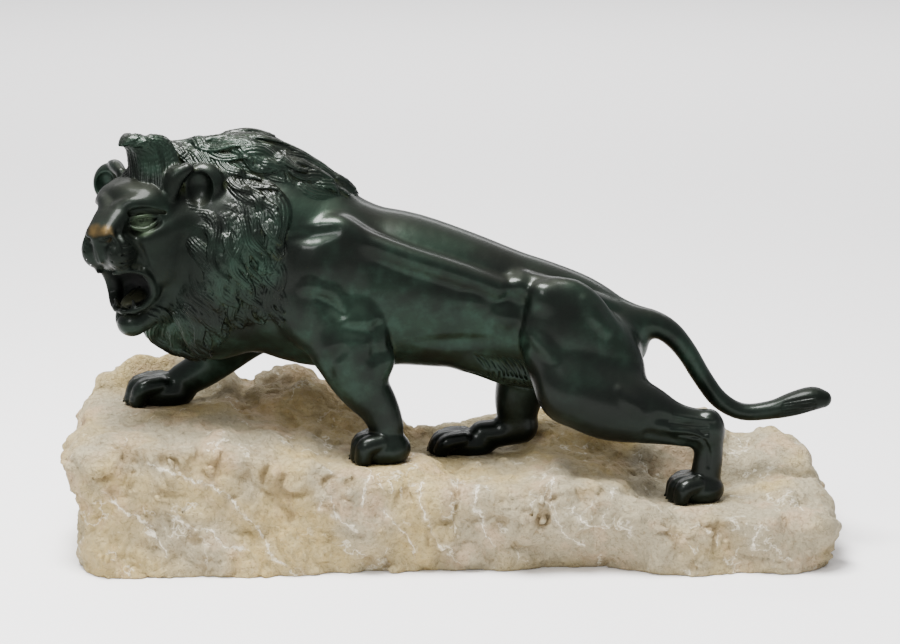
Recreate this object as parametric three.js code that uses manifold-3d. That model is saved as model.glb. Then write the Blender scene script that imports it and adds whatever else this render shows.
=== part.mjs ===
// Cast bronze lion striding down a rough limestone rock, its open-mouthed head turned to its left.
// Millimetres, +Z up. X runs from the head (-) to the tail (+), and the head looks towards -Y.
// The origin is on the table, under the middle of the rock.
import * as THREE from "three";
import { mergeVertices } from "three/addons/utils/BufferGeometryUtils.js";
import Module from "manifold-3d";

// Driving dimensions
const ROCK_HALF_LENGTH = 345;
const ROCK_HALF_WIDTH = 97;
const ROCK_HEIGHT = 175;
const ROCK_CORNER = 34;
const SEAT_GAP = 0.3;
const LION_BOX = [[-345, -100, 40], [360, 80, 400]];
const LION_CELL = 3;
const ROCK_CELL = 7;
const LION_TRIANGLES = 7750;
const ROCK_TRIANGLES = 1600;
const FAR = 30;

// The forms of the body. A path holds x, y, z and radius, and its forms are flattened by ratio along flat.
// A ball has its middle, its three half sizes and a turn in degrees. Blend is how softly it runs into the
// rest.
const BODY = {
  trunk: {
    path: [
      [-165, 0, 258, 74], [-120, 0, 246, 77], [-80, 0, 241, 74], [-45, 0, 239, 69.5], [0, 0, 230, 63],
      [45, 0, 221, 54.5], [75, 0, 214, 51.5], [105, 0, 205, 48.5], [130, 0, 197, 41], [148, 0, 191, 31],
    ],
    flat: [0, 1, 0], ratio: 0.68, blend: 10,
  },
  nearFlankEdge: {
    path: [[-95, -37, 298, 10], [-44, -40, 278, 10], [0, -38, 263, 9.5], [42, -34, 247, 9]],
    blend: 7,
  },
  farFlankEdge: {
    path: [[-95, 34, 300, 13], [-44, 36, 279, 13], [0, 34, 264, 12], [42, 31, 248, 11]],
    blend: 12,
  },
  neck: {
    path: [[-125, 0, 272, 62], [-190, -4, 290, 58], [-245, -12, 300, 44]],
    flat: [0, 1, 0], ratio: 0.8, blend: 20,
  },
  flankTuft: {
    path: [[20, 0, 178, 14], [48, 0, 163, 12], [72, 0, 160, 12]],
    flat: [0, 1, 0], ratio: 1.6, blend: 14,
  },
  rump: { at: [146, 0, 194], size: [22, 30, 28], turn: [0, 30, 0], blend: 14 },
};
const NEAR_FORELEG = {
  shoulderBlade: { at: [-108, -40, 262], size: [36, 17, 50], turn: [0, 18, 0], blend: 8 },
  shoulderPoint: { at: [-122, -42, 222], size: [26, 17, 34], turn: [0, -25, 0], blend: 9 },
  upperArm: { at: [-90, -46, 206], size: [34, 17, 38], turn: [0, -25, 0], blend: 7 },
  elbow: { at: [-66, -43, 184], size: [17, 12, 18], turn: [0, -20, 0], blend: 7 },
  forearm: {
    path: [
      [-96, -42, 192, 27], [-84, -42, 172, 26], [-75, -42, 156, 22],
      [-64, -41, 140, 18], [-57, -41, 122, 15.5], [-59, -41, 108, 15],
    ],
    flat: [0, 1, 0], ratio: 0.85, blend: 9,
  },
};
const FAR_FORELEG = {
  shoulderBlade: { at: [-120, 40, 260], size: [36, 17, 50], turn: [0, 18, 0], blend: 8 },
  upperArm: { at: [-150, 40, 214], size: [36, 18, 38], turn: [0, -10, 0], blend: 12 },
  forearm: {
    path: [
      [-160, 36, 204, 26], [-186, 35, 190, 24], [-210, 34, 169, 19.5],
      [-230, 34, 154, 17], [-244, 34, 146, 15.5],
    ],
    flat: [0, 1, 0], ratio: 0.9, blend: 10,
  },
};
const NEAR_HIND_LEG = {
  thigh: { at: [108, -36, 194], size: [44, 19, 62], turn: [0, -14, 0], blend: 9 },
  thighFoot: { path: [[92, -38, 180, 17], [106, -42, 152, 20]], blend: 10 },
  buttock: { at: [141, -28, 182], size: [29, 21, 46], turn: [0, -28, 0], blend: 10 },
  gaskin: {
    path: [
      [110, -43, 156, 32], [140, -44, 144, 33], [168, -44, 136, 28],
      [192, -43, 127, 21], [214, -42, 121, 17.5], [228, -42, 119, 16],
    ],
    flat: [0, 1, 0], ratio: 0.72, blend: 12,
  },
  heelBone: { path: [[206, -42, 128, 9], [231, -42, 127, 10.5]], blend: 5 },
  shank: {
    path: [[229, -42, 118, 15], [231, -42, 98, 13], [229, -42, 78, 13.5]],
    flat: [0, 1, 0], ratio: 0.85, blend: 6,
  },
};
const FAR_HIND_LEG = {
  thigh: { at: [88, 33, 194], size: [42, 19, 58], turn: [0, 8, 0], blend: 9 },
  gaskin: {
    path: [[78, 33, 166, 30], [66, 33, 140, 24], [62, 33, 120, 20], [64, 33, 106, 16]],
    flat: [0, 1, 0], ratio: 0.8, blend: 12,
  },
  shank: { path: [[66, 33, 100, 13], [48, 33, 96, 13], [30, 33, 94, 13]], blend: 8 },
};
const TAIL = {
  tail: {
    path: [
      [138, 0, 203, 18], [158, 0, 208, 14.5], [178, 0, 208, 12.5], [197, 1, 199, 11],
      [213, 3, 181, 9.6], [229, 5, 155, 8.8], [245, 6, 134, 8.4], [266, 6, 123, 7.8],
      [292, 5, 125, 8.6], [312, 4, 131, 11], [328, 3, 136, 11], [338, 2, 136, 8],
    ],
    blend: 10,
  },
};

// Muscles that stand out on the near side
const MUSCLES = {
  shoulderTop: { at: [-130, -22, 309], size: [27, 14, 11], turn: [0, 6, 0], blend: 6 },
  shoulderFold: { at: [-118, -44, 268], size: [14, 12, 22], turn: [0, 14, 0], blend: 8 },
  hipPoint: { at: [62, -30, 248], size: [9, 8, 8], blend: 12 },
  hipKnob: { at: [84, -35, 239], size: [11, 12, 14], turn: [0, -30, 0], blend: 12 },
  ribEnd: { at: [21, -32, 235], size: [11, 9, 7], turn: [0, 25, 0], blend: 9 },
  loin: { at: [48, -32, 221], size: [11, 8, 8], turn: [0, 25, 0], blend: 9 },
  hockKnob: { at: [231, -45, 130], size: [9, 8, 8], blend: 3 },
};

// Paws: the middle of the sole, the way the toes point in degrees from +X, length, width, height.
const PAWS = {
  nearFore: { at: [-62, -41], seat: 90, heading: 180, length: 56, width: 42, height: 32 },
  farFore: { at: [-266, 34], seat: 124, heading: 183, length: 68, width: 42, height: 32 },
  nearHind: { at: [220, -42], seat: 54, heading: 184, length: 54, width: 40, height: 28 },
  farHind: { at: [12, 33], seat: 77, heading: 180, length: 66, width: 38, height: 24 },
};
// The proportions of a paw: its pad's place and half sizes, as shares of its length, width and height,
// and its toes. A toe's rows are how far behind its tip it is, how far out, its height and its radius, as
// shares of the length, of its place across, of the height and of the toe's radius.
const PAD = { behind: 0.06, rise: 0.36, size: [0.42, 0.44, 0.56], blend: 4 };
const TOES = { count: 4, reach: 0.5, shorter: 0.09, spread: 0.34, radius: 0.19, blend: 1.6 };
const TOE_ROWS = [[0.42, 0.75, 0.62, 1.05], [0.2, 1, 0.52, 1.12]];
const TOE_TIP = 0.75;

// The head in its own frame: x out of the nose, y to the lion's left, z up, origin inside, level with the
// eyes.
const HEAD = { at: [-279, -41, 314], yaw: 236, pitch: 0, roll: 3 };
const SKULL = {
  cranium: { at: [-28, 0, 0], size: [42, 44, 38], blend: 10 },
  forehead: { at: [-2, 0, 12], size: [22, 31, 18], turn: [0, -20, 0], blend: 8 },
  bridge: { path: [[0, 0, 5, 18], [20, 0, -1, 15], [36, 0, -10, 12]], blend: 7 },
  chops: { at: [27, 0, -25], size: [20, 18, 18], blend: 6 },
  palate: { at: [2, 0, -32], size: [30, 25, 20], blend: 10 },
  nose: { at: [43, 0, -12.5], size: [7.5, 14, 6.5], turn: [0, 25, 0], blend: 2 },
  noseFront: { path: [[43, 0, -15, 7], [45.5, 0, -24, 4.5], [45, 0, -33, 3]], blend: 2 },
  throat: { at: [-34, 0, -62], size: [30, 32, 34], blend: 12 },
};
const CHEEKS = {
  bridgeSide: { path: [[6, 9, 9, 11], [22, 8, 3, 10], [40, 8, -9, 7]], blend: 5 },
  chop: { at: [30, 12, -27], size: [18, 12, 16.5], turn: [0, 8, 14], blend: 3 },
  cheek: { at: [-14, 24, -32], size: [26, 18, 34], blend: 10 },
  cheekBone: { path: [[10, 25, -18, 6], [-4, 33, -13, 9], [-24, 39, -8, 11]], blend: 12 },
  jaw: { path: [[-34, 28, -40, 17], [-20, 19, -68, 14], [-2, 9, -90, 11]], blend: 8 },
  temple: { at: [-4, 21, 9], size: [18, 15, 16], blend: 8 },
  browRidge: { path: [[22, 7, 9, 5], [16, 16, 13, 6.5], [8, 25, 11.5, 5.5], [-2, 32, 8, 3.5]], blend: 5 },
};
const CHIN = { chin: { at: [8, 0, -95], size: [14, 14, 12], turn: [0, 10, 0], blend: 6 } };
const MOUTH = {
  cavity: { at: [27, 0, -63], size: [28, 23.5, 18], turn: [0, 10, 0], blend: 3 },
};
const LIPS = {
  corner: { path: [[14, 22, -47, 3], [4, 23, -57, 5], [2, 22, -69, 5], [9, 16, -79, 3.5]], blend: 4 },
  lip: {
    path: [
      [38, 9, -45, 1.6], [28, 19, -44, 1.8], [16, 25, -49, 1.8], [9, 26, -58, 2],
      [7, 25, -69, 2], [12, 19, -78, 2], [18, 9, -82, 2], [20, 0, -82.5, 2],
    ],
    blend: 4,
  },
};
const SOCKETS = {
  socket: { at: [14, 27, -3], size: [14.5, 10.5, 7.5], turn: [0, 0, -50], blend: 3 },
};
const EYES = {
  eye: { at: [6, 17.5, -3.5], size: [12, 12, 8.5], blend: 1.2 },
  upperLid: {
    path: [[19.5, 11, -3, 1.6], [18, 20.5, 2, 2.3], [11, 28, 2.5, 2.3], [0, 33.5, 0, 1.5]],
    blend: 1.2,
  },
  lowerLid: {
    path: [[19.5, 11, -4, 1.6], [18, 19.5, -8.5, 1.9], [11, 27.5, -9, 1.9], [0, 33.5, -1, 1.5]],
    blend: 1.2,
  },
};
const EARS = {
  near: { at: [-37, 53, 25], size: [9, 17.5, 18], turn: [0, -8, 34], blend: 5 },
  nearFlap: { path: [[-12, 36, 18, 6], [-16, 39, 32, 8.5], [-22, 48, 39, 6]], blend: 5 },
  far: { at: [-38, -57, 20], size: [9, 17, 18], turn: [0, -8, 4], blend: 5 },
  farRoot: { path: [[-42, -34, 12, 17], [-42, -50, 18, 12]], blend: 8 },
  farFlap: { path: [[-22, -28, 33, 5], [-29, -40, 37, 6], [-36, -52, 38, 3]], blend: 5 },
};
const EAR_HOLLOWS = {
  near: { at: [-26, 56, 22], size: [12, 13, 16], turn: [0, -8, 34], blend: 2 },
  far: { at: [-28, -56, 19], size: [12, 12, 13], turn: [0, -8, 4], blend: 2 },
};
const TEETH = {
  upper: { path: [[34, 10, -40, 2.6], [33, 10, -46, 1.2]], blend: 1.5 },
  lower: { path: [[15, 10, -82, 2.8], [17, 10, -73, 1.2]], blend: 1.5 },
};
const FORELOCK = {
  root: { path: [[-36, 4, 38, 20], [-25, 5, 46, 14], [-20, 6, 52, 8]], blend: 8 },
  curl: { path: [[-22, 5, 40, 9], [-18, 6, 52, 8], [-10, 6, 58, 5]], flat: [0, 1, 0], ratio: 1.6, blend: 4 },
};
const BEARD = {
  beard: { path: [[-16, 0, -86, 15], [-33, 0, -98, 16], [-52, 0, -107, 20]], blend: 10 },
};

// Masses of the mane, below its locks
const MANE = {
  ruff: { at: [-206, -6, 276], size: [52, 56, 72], turn: [0, 12, 0], blend: 16 },
  nape: { at: [-160, 0, 290], size: [50, 46, 62], turn: [0, 20, 0], blend: 16 },
  breast: { at: [-214, -2, 220], size: [42, 42, 46], turn: [0, -25, 0], blend: 18 },
  crest: {
    path: [
      [-252, -14, 350, 18], [-228, -5, 347, 21], [-189, 0, 351, 26],
      [-157, 0, 341, 25], [-128, 0, 329, 20], [-104, 0, 318, 15],
    ],
    blend: 14,
  },
};

// The way the hair falls, seen from the side: x, z and the direction there in x and z
const HAIR_FALL = [
  [-234, 372, 0.75, -0.6], [-189, 381, 0.95, -0.2], [-157, 363, 0.9, -0.45], [-117, 340, 0.9, -0.4],
  [-211, 340, 0.85, -0.5], [-180, 326, 0.6, -0.8], [-148, 321, 0.35, -0.95], [-229, 310, 0.75, -0.65],
  [-216, 289, 0.3, -0.95], [-234, 275, 0.5, -0.85], [-184, 280, 0.1, -1], [-148, 284, 0.15, -1],
  [-220, 238, 0.35, -0.95], [-243, 220, 0.45, -0.9], [-193, 229, 0.35, -0.95], [-162, 238, 0.3, -0.95],
  [-211, 197, 0.5, -0.85],
];
const FALL_REACH = 60;

// A lock is narrow at its root, widest at its bulge and ends in a tip. Its middle runs from its sink below
// the surface, at the root, to its rise above it, at the tip. Two locks side by side are apart by more than
// one distance, and one starts below another after a share of the lock's length. Roots keep inside the mane.
const LOCK = {
  step: 9.5, steps: 8, radius: 11, flatness: 0.55, blend: 0.5,
  sink: -4, rise: 4, wave: 0.5, turns: 1.1,
};
const LOCK_ROOTS = {
  grid: 10, apart: 14.5, after: 0.5, inside: 12, from: [-300, -90, 170], to: [-90, 90, 390],
};
const LOCK_TIP = -4;

// Where the mane ends. Beside the face it lies further out than the cheek, narrower towards the chin, and
// over the forehead behind the brow. Rear and lowest are x and z limits, at the middle or the neck and
// further out.
const MANE_EDGE = {
  cheek: [56, 17], chinFrom: -48, chinOver: 40, browHeight: 26, browX: -4,
  rear: [-86, -150], rearFrom: 12, rearOver: 22, lowest: [180, 216], lowestFrom: -225, lowestOver: 40,
  ear: [-31, 58, 22], earReach: 19,
};
const PICTURE_ACROSS = [-0.559, 0.829];
const EYE_X = 14;

// The middle lock of the forelock, in the head's frame: x, z and radius
const FORELOCK_CURL = [[0, 25, 3.5], [-6, 37, 6.5], [-9, 49, 7.5], [-8, 60, 7.5], [-2, 66, 6], [5, 63, 2.2]];
const FORELOCK_SIDES = [-13, -8, -3, 2, 7, 12, 17, 22, 27];
const FORELOCK_LOCK = {
  flat: [0.8, 0, 0.6], ratio: 0.6, blend: 1,
  gather: 0.1, lean: 12, behind: 0.02, lower: 0.08, stray: [1.2, 1],
};

const rad = (degrees) => (degrees * Math.PI) / 180;
const clamp = (v, low, high) => Math.min(high, Math.max(low, v));
const mix = (a, b, t) => a + (b - a) * t;
const smooth = (t) => t * t * (3 - 2 * t);
const ease = (t) => smooth(clamp(t, 0, 1));

// A rigid frame that forms are laid out in. A mirrored one swaps the lion's left and right.
function place({ at = [0, 0, 0], yaw = 0, pitch = 0, roll = 0 } = {}, mirror = false) {
  const turn = new THREE.Euler(rad(roll), rad(pitch), rad(yaw), "ZYX");
  const quaternion = new THREE.Quaternion().setFromEuler(turn);
  const side = mirror ? -1 : 1;
  const origin = new THREE.Vector3(...at);
  const back = quaternion.clone().invert();
  return {
    side,
    quaternion,
    local: (p) => p.clone().sub(origin).applyQuaternion(back),
    point: (p) => new THREE.Vector3(p[0], side * p[1], p[2]).applyQuaternion(quaternion).add(origin),
    vector: (p) => new THREE.Vector3(p[0], side * p[1], p[2]).applyQuaternion(quaternion),
  };
}

// The signed distance of a ball with three half sizes, turned in its frame
function ball({ at, size, turn = [0, 0, 0] }, frame) {
  const s = frame.side;
  const euler = new THREE.Euler(s * rad(turn[0]), rad(turn[1]), s * rad(turn[2]), "ZYX");
  const whole = frame.quaternion.clone().multiply(new THREE.Quaternion().setFromEuler(euler));
  const back = new THREE.Matrix4().makeRotationFromQuaternion(whole).transpose().elements;
  const c = frame.point(at);
  const reach = Math.max(...size);
  const distance = (x, y, z) => {
    const [dx, dy, dz] = [x - c.x, y - c.y, z - c.z];
    const u = (back[0] * dx + back[4] * dy + back[8] * dz) / size[0];
    const v = (back[1] * dx + back[5] * dy + back[9] * dz) / size[1];
    const w = (back[2] * dx + back[6] * dy + back[10] * dz) / size[2];
    const near = Math.hypot(u, v, w);
    const slope = Math.hypot(u / size[0], v / size[1], w / size[2]);
    return slope < 1e-9 ? -Math.min(...size) : (near * (near - 1)) / slope;
  };
  return { low: c.clone().subScalar(reach), high: c.clone().addScalar(reach), distance };
}

// The signed distance of a tapering round path, smoothed through its points
function limb({ path, flat = [0, 1, 0], ratio = 1 }, frame, steps = 4) {
  const n = frame.vector(flat);
  const points = path.map((p) => frame.point(p));
  const curve = points.length > 2 ? new THREE.CatmullRomCurve3(points, false, "catmullrom", 0.5) : null;
  const spans = path.length - 1;
  const count = curve ? spans * steps : 1;
  const knots = [];
  for (let i = 0; i <= count; i++) {
    const t = i / count;
    const p = curve ? curve.getPoint(t) : points[0].clone().lerp(points[1], t);
    const span = Math.min(spans - 1, Math.floor(t * spans));
    knots.push([p.x, p.y, p.z, mix(path[span][3], path[span + 1][3], t * spans - span)]);
  }
  const low = new THREE.Vector3(Infinity, Infinity, Infinity);
  const high = low.clone().negate();
  for (const [x, y, z, r] of knots) {
    const reach = r * Math.max(1, ratio);
    low.min(new THREE.Vector3(x - reach, y - reach, z - reach));
    high.max(new THREE.Vector3(x + reach, y + reach, z + reach));
  }
  const squeeze = 1 / ratio;
  const distance = (x, y, z) => {
    let best = Infinity;
    for (let i = 0; i < knots.length - 1; i++) {
      const [ax, ay, az, ar] = knots[i];
      const [bx, by, bz, br] = knots[i + 1];
      const [ex, ey, ez] = [bx - ax, by - ay, bz - az];
      const along = ((x - ax) * ex + (y - ay) * ey + (z - az) * ez) / (ex * ex + ey * ey + ez * ez);
      const h = clamp(along, 0, 1);
      const [qx, qy, qz] = [x - ax - h * ex, y - ay - h * ey, z - az - h * ez];
      const qn = qx * n.x + qy * n.y + qz * n.z;
      const q2 = qx * qx + qy * qy + qz * qz - qn * qn;
      const length = Math.sqrt(q2 + (qn * squeeze) ** 2);
      const slope = Math.sqrt(q2 + (qn * squeeze * squeeze) ** 2);
      const r = ar + h * (br - ar);
      best = Math.min(best, slope < 1e-9 ? -r : ((length - r) * length) / slope);
    }
    return best;
  };
  return { low, high, distance };
}

// A block of space that holds a signed distance at every corner of its cells, and takes forms one by one
class Clay {
  constructor(low, high, cell) {
    this.low = low;
    this.cell = cell;
    this.size = low.map((v, i) => Math.ceil((high[i] - v) / cell) + 1);
    this.field = new Float32Array(this.size[0] * this.size[1] * this.size[2]).fill(FAR);
  }

  press(form, blend, carve = false) {
    const [nx, ny] = this.size;
    const margin = blend + 2 * this.cell;
    const cellAt = (v, i) => clamp(Math.round((v - this.low[i]) / this.cell), 0, this.size[i] - 1);
    const first = form.low.toArray().map((v, i) => cellAt(v - margin, i));
    const last = form.high.toArray().map((v, i) => cellAt(v + margin, i));
    for (let k = first[2]; k <= last[2]; k++)
      for (let j = first[1]; j <= last[1]; j++)
        for (let i = first[0]; i <= last[0]; i++) {
          const n = i + nx * (j + ny * k);
          const here = this.field[n];
          const [x, y, z] = [i, j, k].map((v, a) => this.low[a] + v * this.cell);
          const d = form.distance(x, y, z);
          const other = carve ? -here : here;
          const h = Math.max(blend - Math.abs(other - d), 0) / blend;
          const joined = Math.min(other, d) - (h * h * blend) / 4;
          this.field[n] = carve ? -joined : joined;
        }
  }

  // Adds or carves every form of a table, in one frame or in a frame and its mirror image
  work(table, frames = [place()], carve = false) {
    for (const form of Object.values(table))
      for (const frame of frames) {
        this.press(form.path ? limb(form, frame) : ball(form, frame), form.blend, carve);
      }
  }

  at(x, y, z) {
    const [nx, ny, nz] = this.size;
    const gx = (x - this.low[0]) / this.cell;
    const gy = (y - this.low[1]) / this.cell;
    const gz = (z - this.low[2]) / this.cell;
    const i = clamp(Math.floor(gx), 0, nx - 2);
    const j = clamp(Math.floor(gy), 0, ny - 2);
    const k = clamp(Math.floor(gz), 0, nz - 2);
    const [u, v, w] = [gx - i, gy - j, gz - k];
    const f = (a, b, c) => this.field[i + a + nx * (j + b + ny * (k + c))];
    const edge = (b, c) => mix(f(0, b, c), f(1, b, c), u);
    return mix(mix(edge(0, 0), edge(1, 0), v), mix(edge(0, 1), edge(1, 1), v), w);
  }
}

// Uphill direction of the distance, which is the surface's normal where the distance is 0
function slopeOf(clay, p) {
  const e = clay.cell;
  return new THREE.Vector3(
    clay.at(p.x + e, p.y, p.z) - clay.at(p.x - e, p.y, p.z),
    clay.at(p.x, p.y + e, p.z) - clay.at(p.x, p.y - e, p.z),
    clay.at(p.x, p.y, p.z + e) - clay.at(p.x, p.y, p.z - e),
  ).normalize();
}

// Moves a point onto the surface of the clay, or to a height above it
function settle(clay, p, height = 0) {
  for (let turn = 0; turn < 4; turn++) p.addScaledVector(slopeOf(clay, p), height - clay.at(p.x, p.y, p.z));
  return p;
}

// The same pseudo-random number from 0 to 1 for the same three whole numbers
function chance(i, j, k) {
  const s = Math.sin(i * 127.1 + j * 311.7 + k * 74.7) * 43758.5453;
  return s - Math.floor(s);
}

// Smooth noise from -1 to 1 with a lump at about every unit of space
function lumps(x, y, z) {
  const [i, j, k] = [Math.floor(x), Math.floor(y), Math.floor(z)];
  const [u, v, w] = [smooth(x - i), smooth(y - j), smooth(z - k)];
  const edge = (b, c) => mix(chance(i, j + b, k + c), chance(i + 1, j + b, k + c), u);
  return 2 * mix(mix(edge(0, 0), edge(1, 0), v), mix(edge(0, 1), edge(1, 1), v), w) - 1;
}

// Whether hair lies at a point. Inside moves the mane's rear and lower limits in.
function hairLies(p, head, inside) {
  const e = MANE_EDGE;
  const h = head.local(p);
  const [across, out] = [Math.abs(p.y), Math.abs(h.y)];
  const side = PICTURE_ACROSS[0] * (h.x - EYE_X) + PICTURE_ACROSS[1] * out;
  const besideFace = side > mix(...e.cheek, ease((e.chinFrom - h.z) / e.chinOver));
  const rear = mix(...e.rear, ease((across - e.rearFrom) / e.rearOver)) - inside;
  const lowest = mix(...e.lowest, ease((p.x - e.lowestFrom) / e.lowestOver)) + inside;
  const ear = Math.hypot(h.x - e.ear[0], out - e.ear[1], h.z - e.ear[2]);
  const front = h.z > e.browHeight ? h.x < e.browX : besideFace;
  return front && p.x < rear && p.z > lowest && ear > e.earReach;
}

// The hair's direction at a point, in the mean of the rows near it, turned from side to side along a lock
function hairDirection(p, turn) {
  let [dx, dz] = [0, 0];
  for (const [x, z, fx, fz] of HAIR_FALL) {
    const weight = ((p.x - x) ** 2 + (p.z - z) ** 2 + FALL_REACH) ** -1.5;
    dx += weight * fx;
    dz += weight * fz;
  }
  const size = Math.hypot(dx, dz);
  const [c, s] = [Math.cos(turn) / size, Math.sin(turn) / size];
  return new THREE.Vector3(dx * c - dz * s, 0, dx * s + dz * c);
}

// Where the locks have their roots: points on the clay, from the top down, each clear of the locks above it
function hairRoots(clay, head) {
  const { grid, apart, after, inside, from, to } = LOCK_ROOTS;
  const candidates = [];
  for (let x = from[0]; x < to[0]; x += grid)
    for (let y = from[1]; y < to[1]; y += grid)
      for (let z = from[2]; z < to[2]; z += grid) {
        if (Math.abs(clay.at(x, y, z)) > grid) continue;
        const root = settle(clay, new THREE.Vector3(x, y, z));
        if (hairLies(root, head, inside)) candidates.push(root);
      }
  candidates.sort((a, b) => b.z - a.z);
  const below = after * LOCK.step * LOCK.steps;
  const roots = [];
  for (const root of candidates) {
    const fall = hairDirection(root, 0);
    const clear = roots.every((other) => {
      const gap = root.clone().sub(other);
      const along = gap.dot(fall);
      return Math.abs(along) > below || gap.addScaledVector(fall, -along).length() > apart;
    });
    if (clear) roots.push(root);
  }
  return roots;
}

// A lock from its root, in the fall of the hair over the surface, until it leaves the mane
function hairLock(clay, head, root, n) {
  const { step, steps, radius, flatness, blend, sink, rise, wave, turns } = LOCK;
  const path = [];
  const flat = new THREE.Vector3();
  const p = root.clone();
  const swing = 0.24 * Math.sin(root.x / 23 + root.z / 31) + 0.1 * chance(n, 3, 0);
  const big = radius * mix(0.8, 1.2, chance(n, 1, 0));
  const tip = rise + mix(-1, 1, chance(n, 2, 0));
  p.addScaledVector(slopeOf(clay, p), sink);
  for (let i = 0; i <= steps; i++) {
    const t = i / steps;
    if (i > 2 && !hairLies(p, head, LOCK_TIP)) break;
    const normal = slopeOf(clay, p);
    flat.add(normal);
    path.push([p.x, p.y, p.z, 0]);
    const direction = hairDirection(p, wave * Math.sin(2 * Math.PI * (turns * t + swing)));
    p.addScaledVector(direction.addScaledVector(normal, -direction.dot(normal)).normalize(), step);
    settle(clay, p, mix(sink, tip, t));
  }
  const bulge = (t) => Math.sin(Math.PI * mix(0.06, 1, t) ** 0.8);
  path.forEach((point, i) => (point[3] = big * mix(0.3, 1, bulge(i / (path.length - 1)))));
  return { path, flat: flat.normalize().toArray(), ratio: flatness, blend };
}

function comb(clay, head) {
  const locks = hairRoots(clay, head).map((root, n) => hairLock(clay, head, root, n));
  for (const lock of locks) clay.press(limb(lock, place(), 1), lock.blend);
}

// The tuft that curls forward over the forehead
function forelock(clay, head) {
  const { flat, ratio, blend, gather, lean, behind, lower, stray } = FORELOCK_LOCK;
  const last = FORELOCK_CURL.length - 1;
  FORELOCK_SIDES.forEach((side, n) => {
    const out = Math.abs(side);
    const dx = stray[0] * Math.sin(2.4 * n) - behind * side * side;
    const dz = stray[1] * Math.cos(1.7 * n) - lower * out;
    const across = (i) => side * (1 - gather * i) + lean * (1 - i / last);
    const path = FORELOCK_CURL.map(([x, z, r], i) => [x + dx, across(i), z + dz, r]);
    clay.press(limb({ path, flat, ratio }, head, 2), blend);
  });
}

// The pad and the toes of a paw, on its seat
function paw({ at, seat, heading, length, width, height }) {
  const frame = place({ at: [...at, seat], yaw: heading });
  const scale = [length, width, height];
  const padSize = PAD.size.map((v, i) => v * scale[i]);
  const pad = { at: [-length * PAD.behind, 0, height * PAD.rise], size: padSize };
  const forms = { pad: { ...pad, blend: PAD.blend } };
  const radius = width * TOES.radius;
  for (let toe = 0; toe < TOES.count; toe++) {
    const side = (2 * toe) / (TOES.count - 1) - 1;
    const y = side * width * TOES.spread;
    const tip = length * (TOES.reach - TOES.shorter * side * side);
    const path = TOE_ROWS.map(([behind, out, rise, r]) => {
      return [tip - length * behind, y * out, height * rise, radius * r];
    });
    path.push([tip - radius, y, radius * TOE_TIP, radius]);
    forms["toe" + toe] = { path, blend: TOES.blend };
  }
  return [forms, frame];
}

function lionClay() {
  const clay = new Clay(...LION_BOX, LION_CELL);
  const head = place(HEAD);
  const bothSides = [head, place(HEAD, true)];
  clay.work(BODY);
  clay.work(FAR_FORELEG);
  clay.work(FAR_HIND_LEG);
  clay.work(NEAR_FORELEG);
  clay.work(NEAR_HIND_LEG);
  clay.work(TAIL);
  for (const spec of Object.values(PAWS)) {
    const [forms, frame] = paw(spec);
    clay.work(forms, [frame]);
  }
  clay.work(MUSCLES);
  clay.work(MANE);
  clay.work(FORELOCK, [head]);
  clay.work(BEARD, [head]);
  clay.work(SKULL, [head]);
  clay.work(CHEEKS, bothSides);
  clay.work(CHIN, [head]);
  comb(clay, head);
  clay.work(MOUTH, [head], true);
  clay.work(SOCKETS, bothSides, true);
  clay.work(EYES, bothSides);
  clay.work(TEETH, bothSides);
  clay.work(LIPS, bothSides);
  forelock(clay, head);
  clay.work(EARS, [head]);
  clay.work(EAR_HOLLOWS, [head], true);
  return clay;
}

// Heights of the rock's top, from the head's end to the tail's: x, front edge, middle, back edge
const ROCK_TOP = [
  [-345, 108, 112, 118], [-325, 116, 121, 140], [-290, 119, 124, 156], [-262, 118, 124, 160],
  [-215, 116, 124, 150], [-184, 112, 118, 133], [-162, 108, 114, 147], [-138, 102, 108, 149],
  [-100, 92, 99, 128], [-62, 84, 90, 104], [-30, 80, 86, 90], [10, 77, 78, 94], [50, 80, 80, 98],
  [90, 84, 84, 107], [130, 78, 78, 104], [170, 64, 66, 104], [212, 50, 55, 107], [236, 50, 54, 108],
  [268, 54, 58, 82], [300, 58, 62, 86], [330, 56, 62, 76], [348, 46, 50, 56],
];
// Its ends at each height, z, head's end and tail's end, and its foot's front edge, x and y
const ROCK_ENDS = [
  [0, -334, 343], [55, -331, 345], [75, -337, 341], [100, -346, 330], [130, -338, 320], [165, -326, 310],
];
const ROCK_FOOT = [
  [-345, -92], [-299, -108], [-247, -100], [-136, -104], [-84, -85], [0, -87],
  [134, -78], [204, -103], [265, -90], [302, -96], [345, -84],
];
const ROCK_FOOT_HEIGHT = 55;
const ROCK_EDGE_Y = 88;
const ROCK_TOP_ROUND = 16;
const ROCK_BELOW = 15;
const ROCK_ROOM = [12, 22];
// Lumps on the sides and on the top: their size along the rock and upright, and how proud they are
const SIDE_LUMPS = [{ size: 60, rise: 45, proud: 5, from: 0 }, { size: 22, rise: 18, proud: 4, from: 7 }];
const TOP_LUMPS = [{ size: 26, proud: 3, from: 0 }, { size: 12, proud: 2, from: 5 }];
// The level seat round each paw: its half sizes as shares of the paw's, where it starts and ends, its swell
const SEAT = { length: 0.56, width: 0.58, from: 2.1, over: 0.9, swell: 1.5 };
const SEAT_POCKET = 0.6;
const SOLE_CUT = 0.72;

// The row of a table at a place along its first column, smoothly between its neighbours
function rowAt(rows, x) {
  let n = 0;
  while (n < rows.length - 2 && x > rows[n + 1][0]) n++;
  const t = ease((x - rows[n][0]) / (rows[n + 1][0] - rows[n][0]));
  return rows[n].map((value, i) => mix(value, rows[n + 1][i], t));
}

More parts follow.
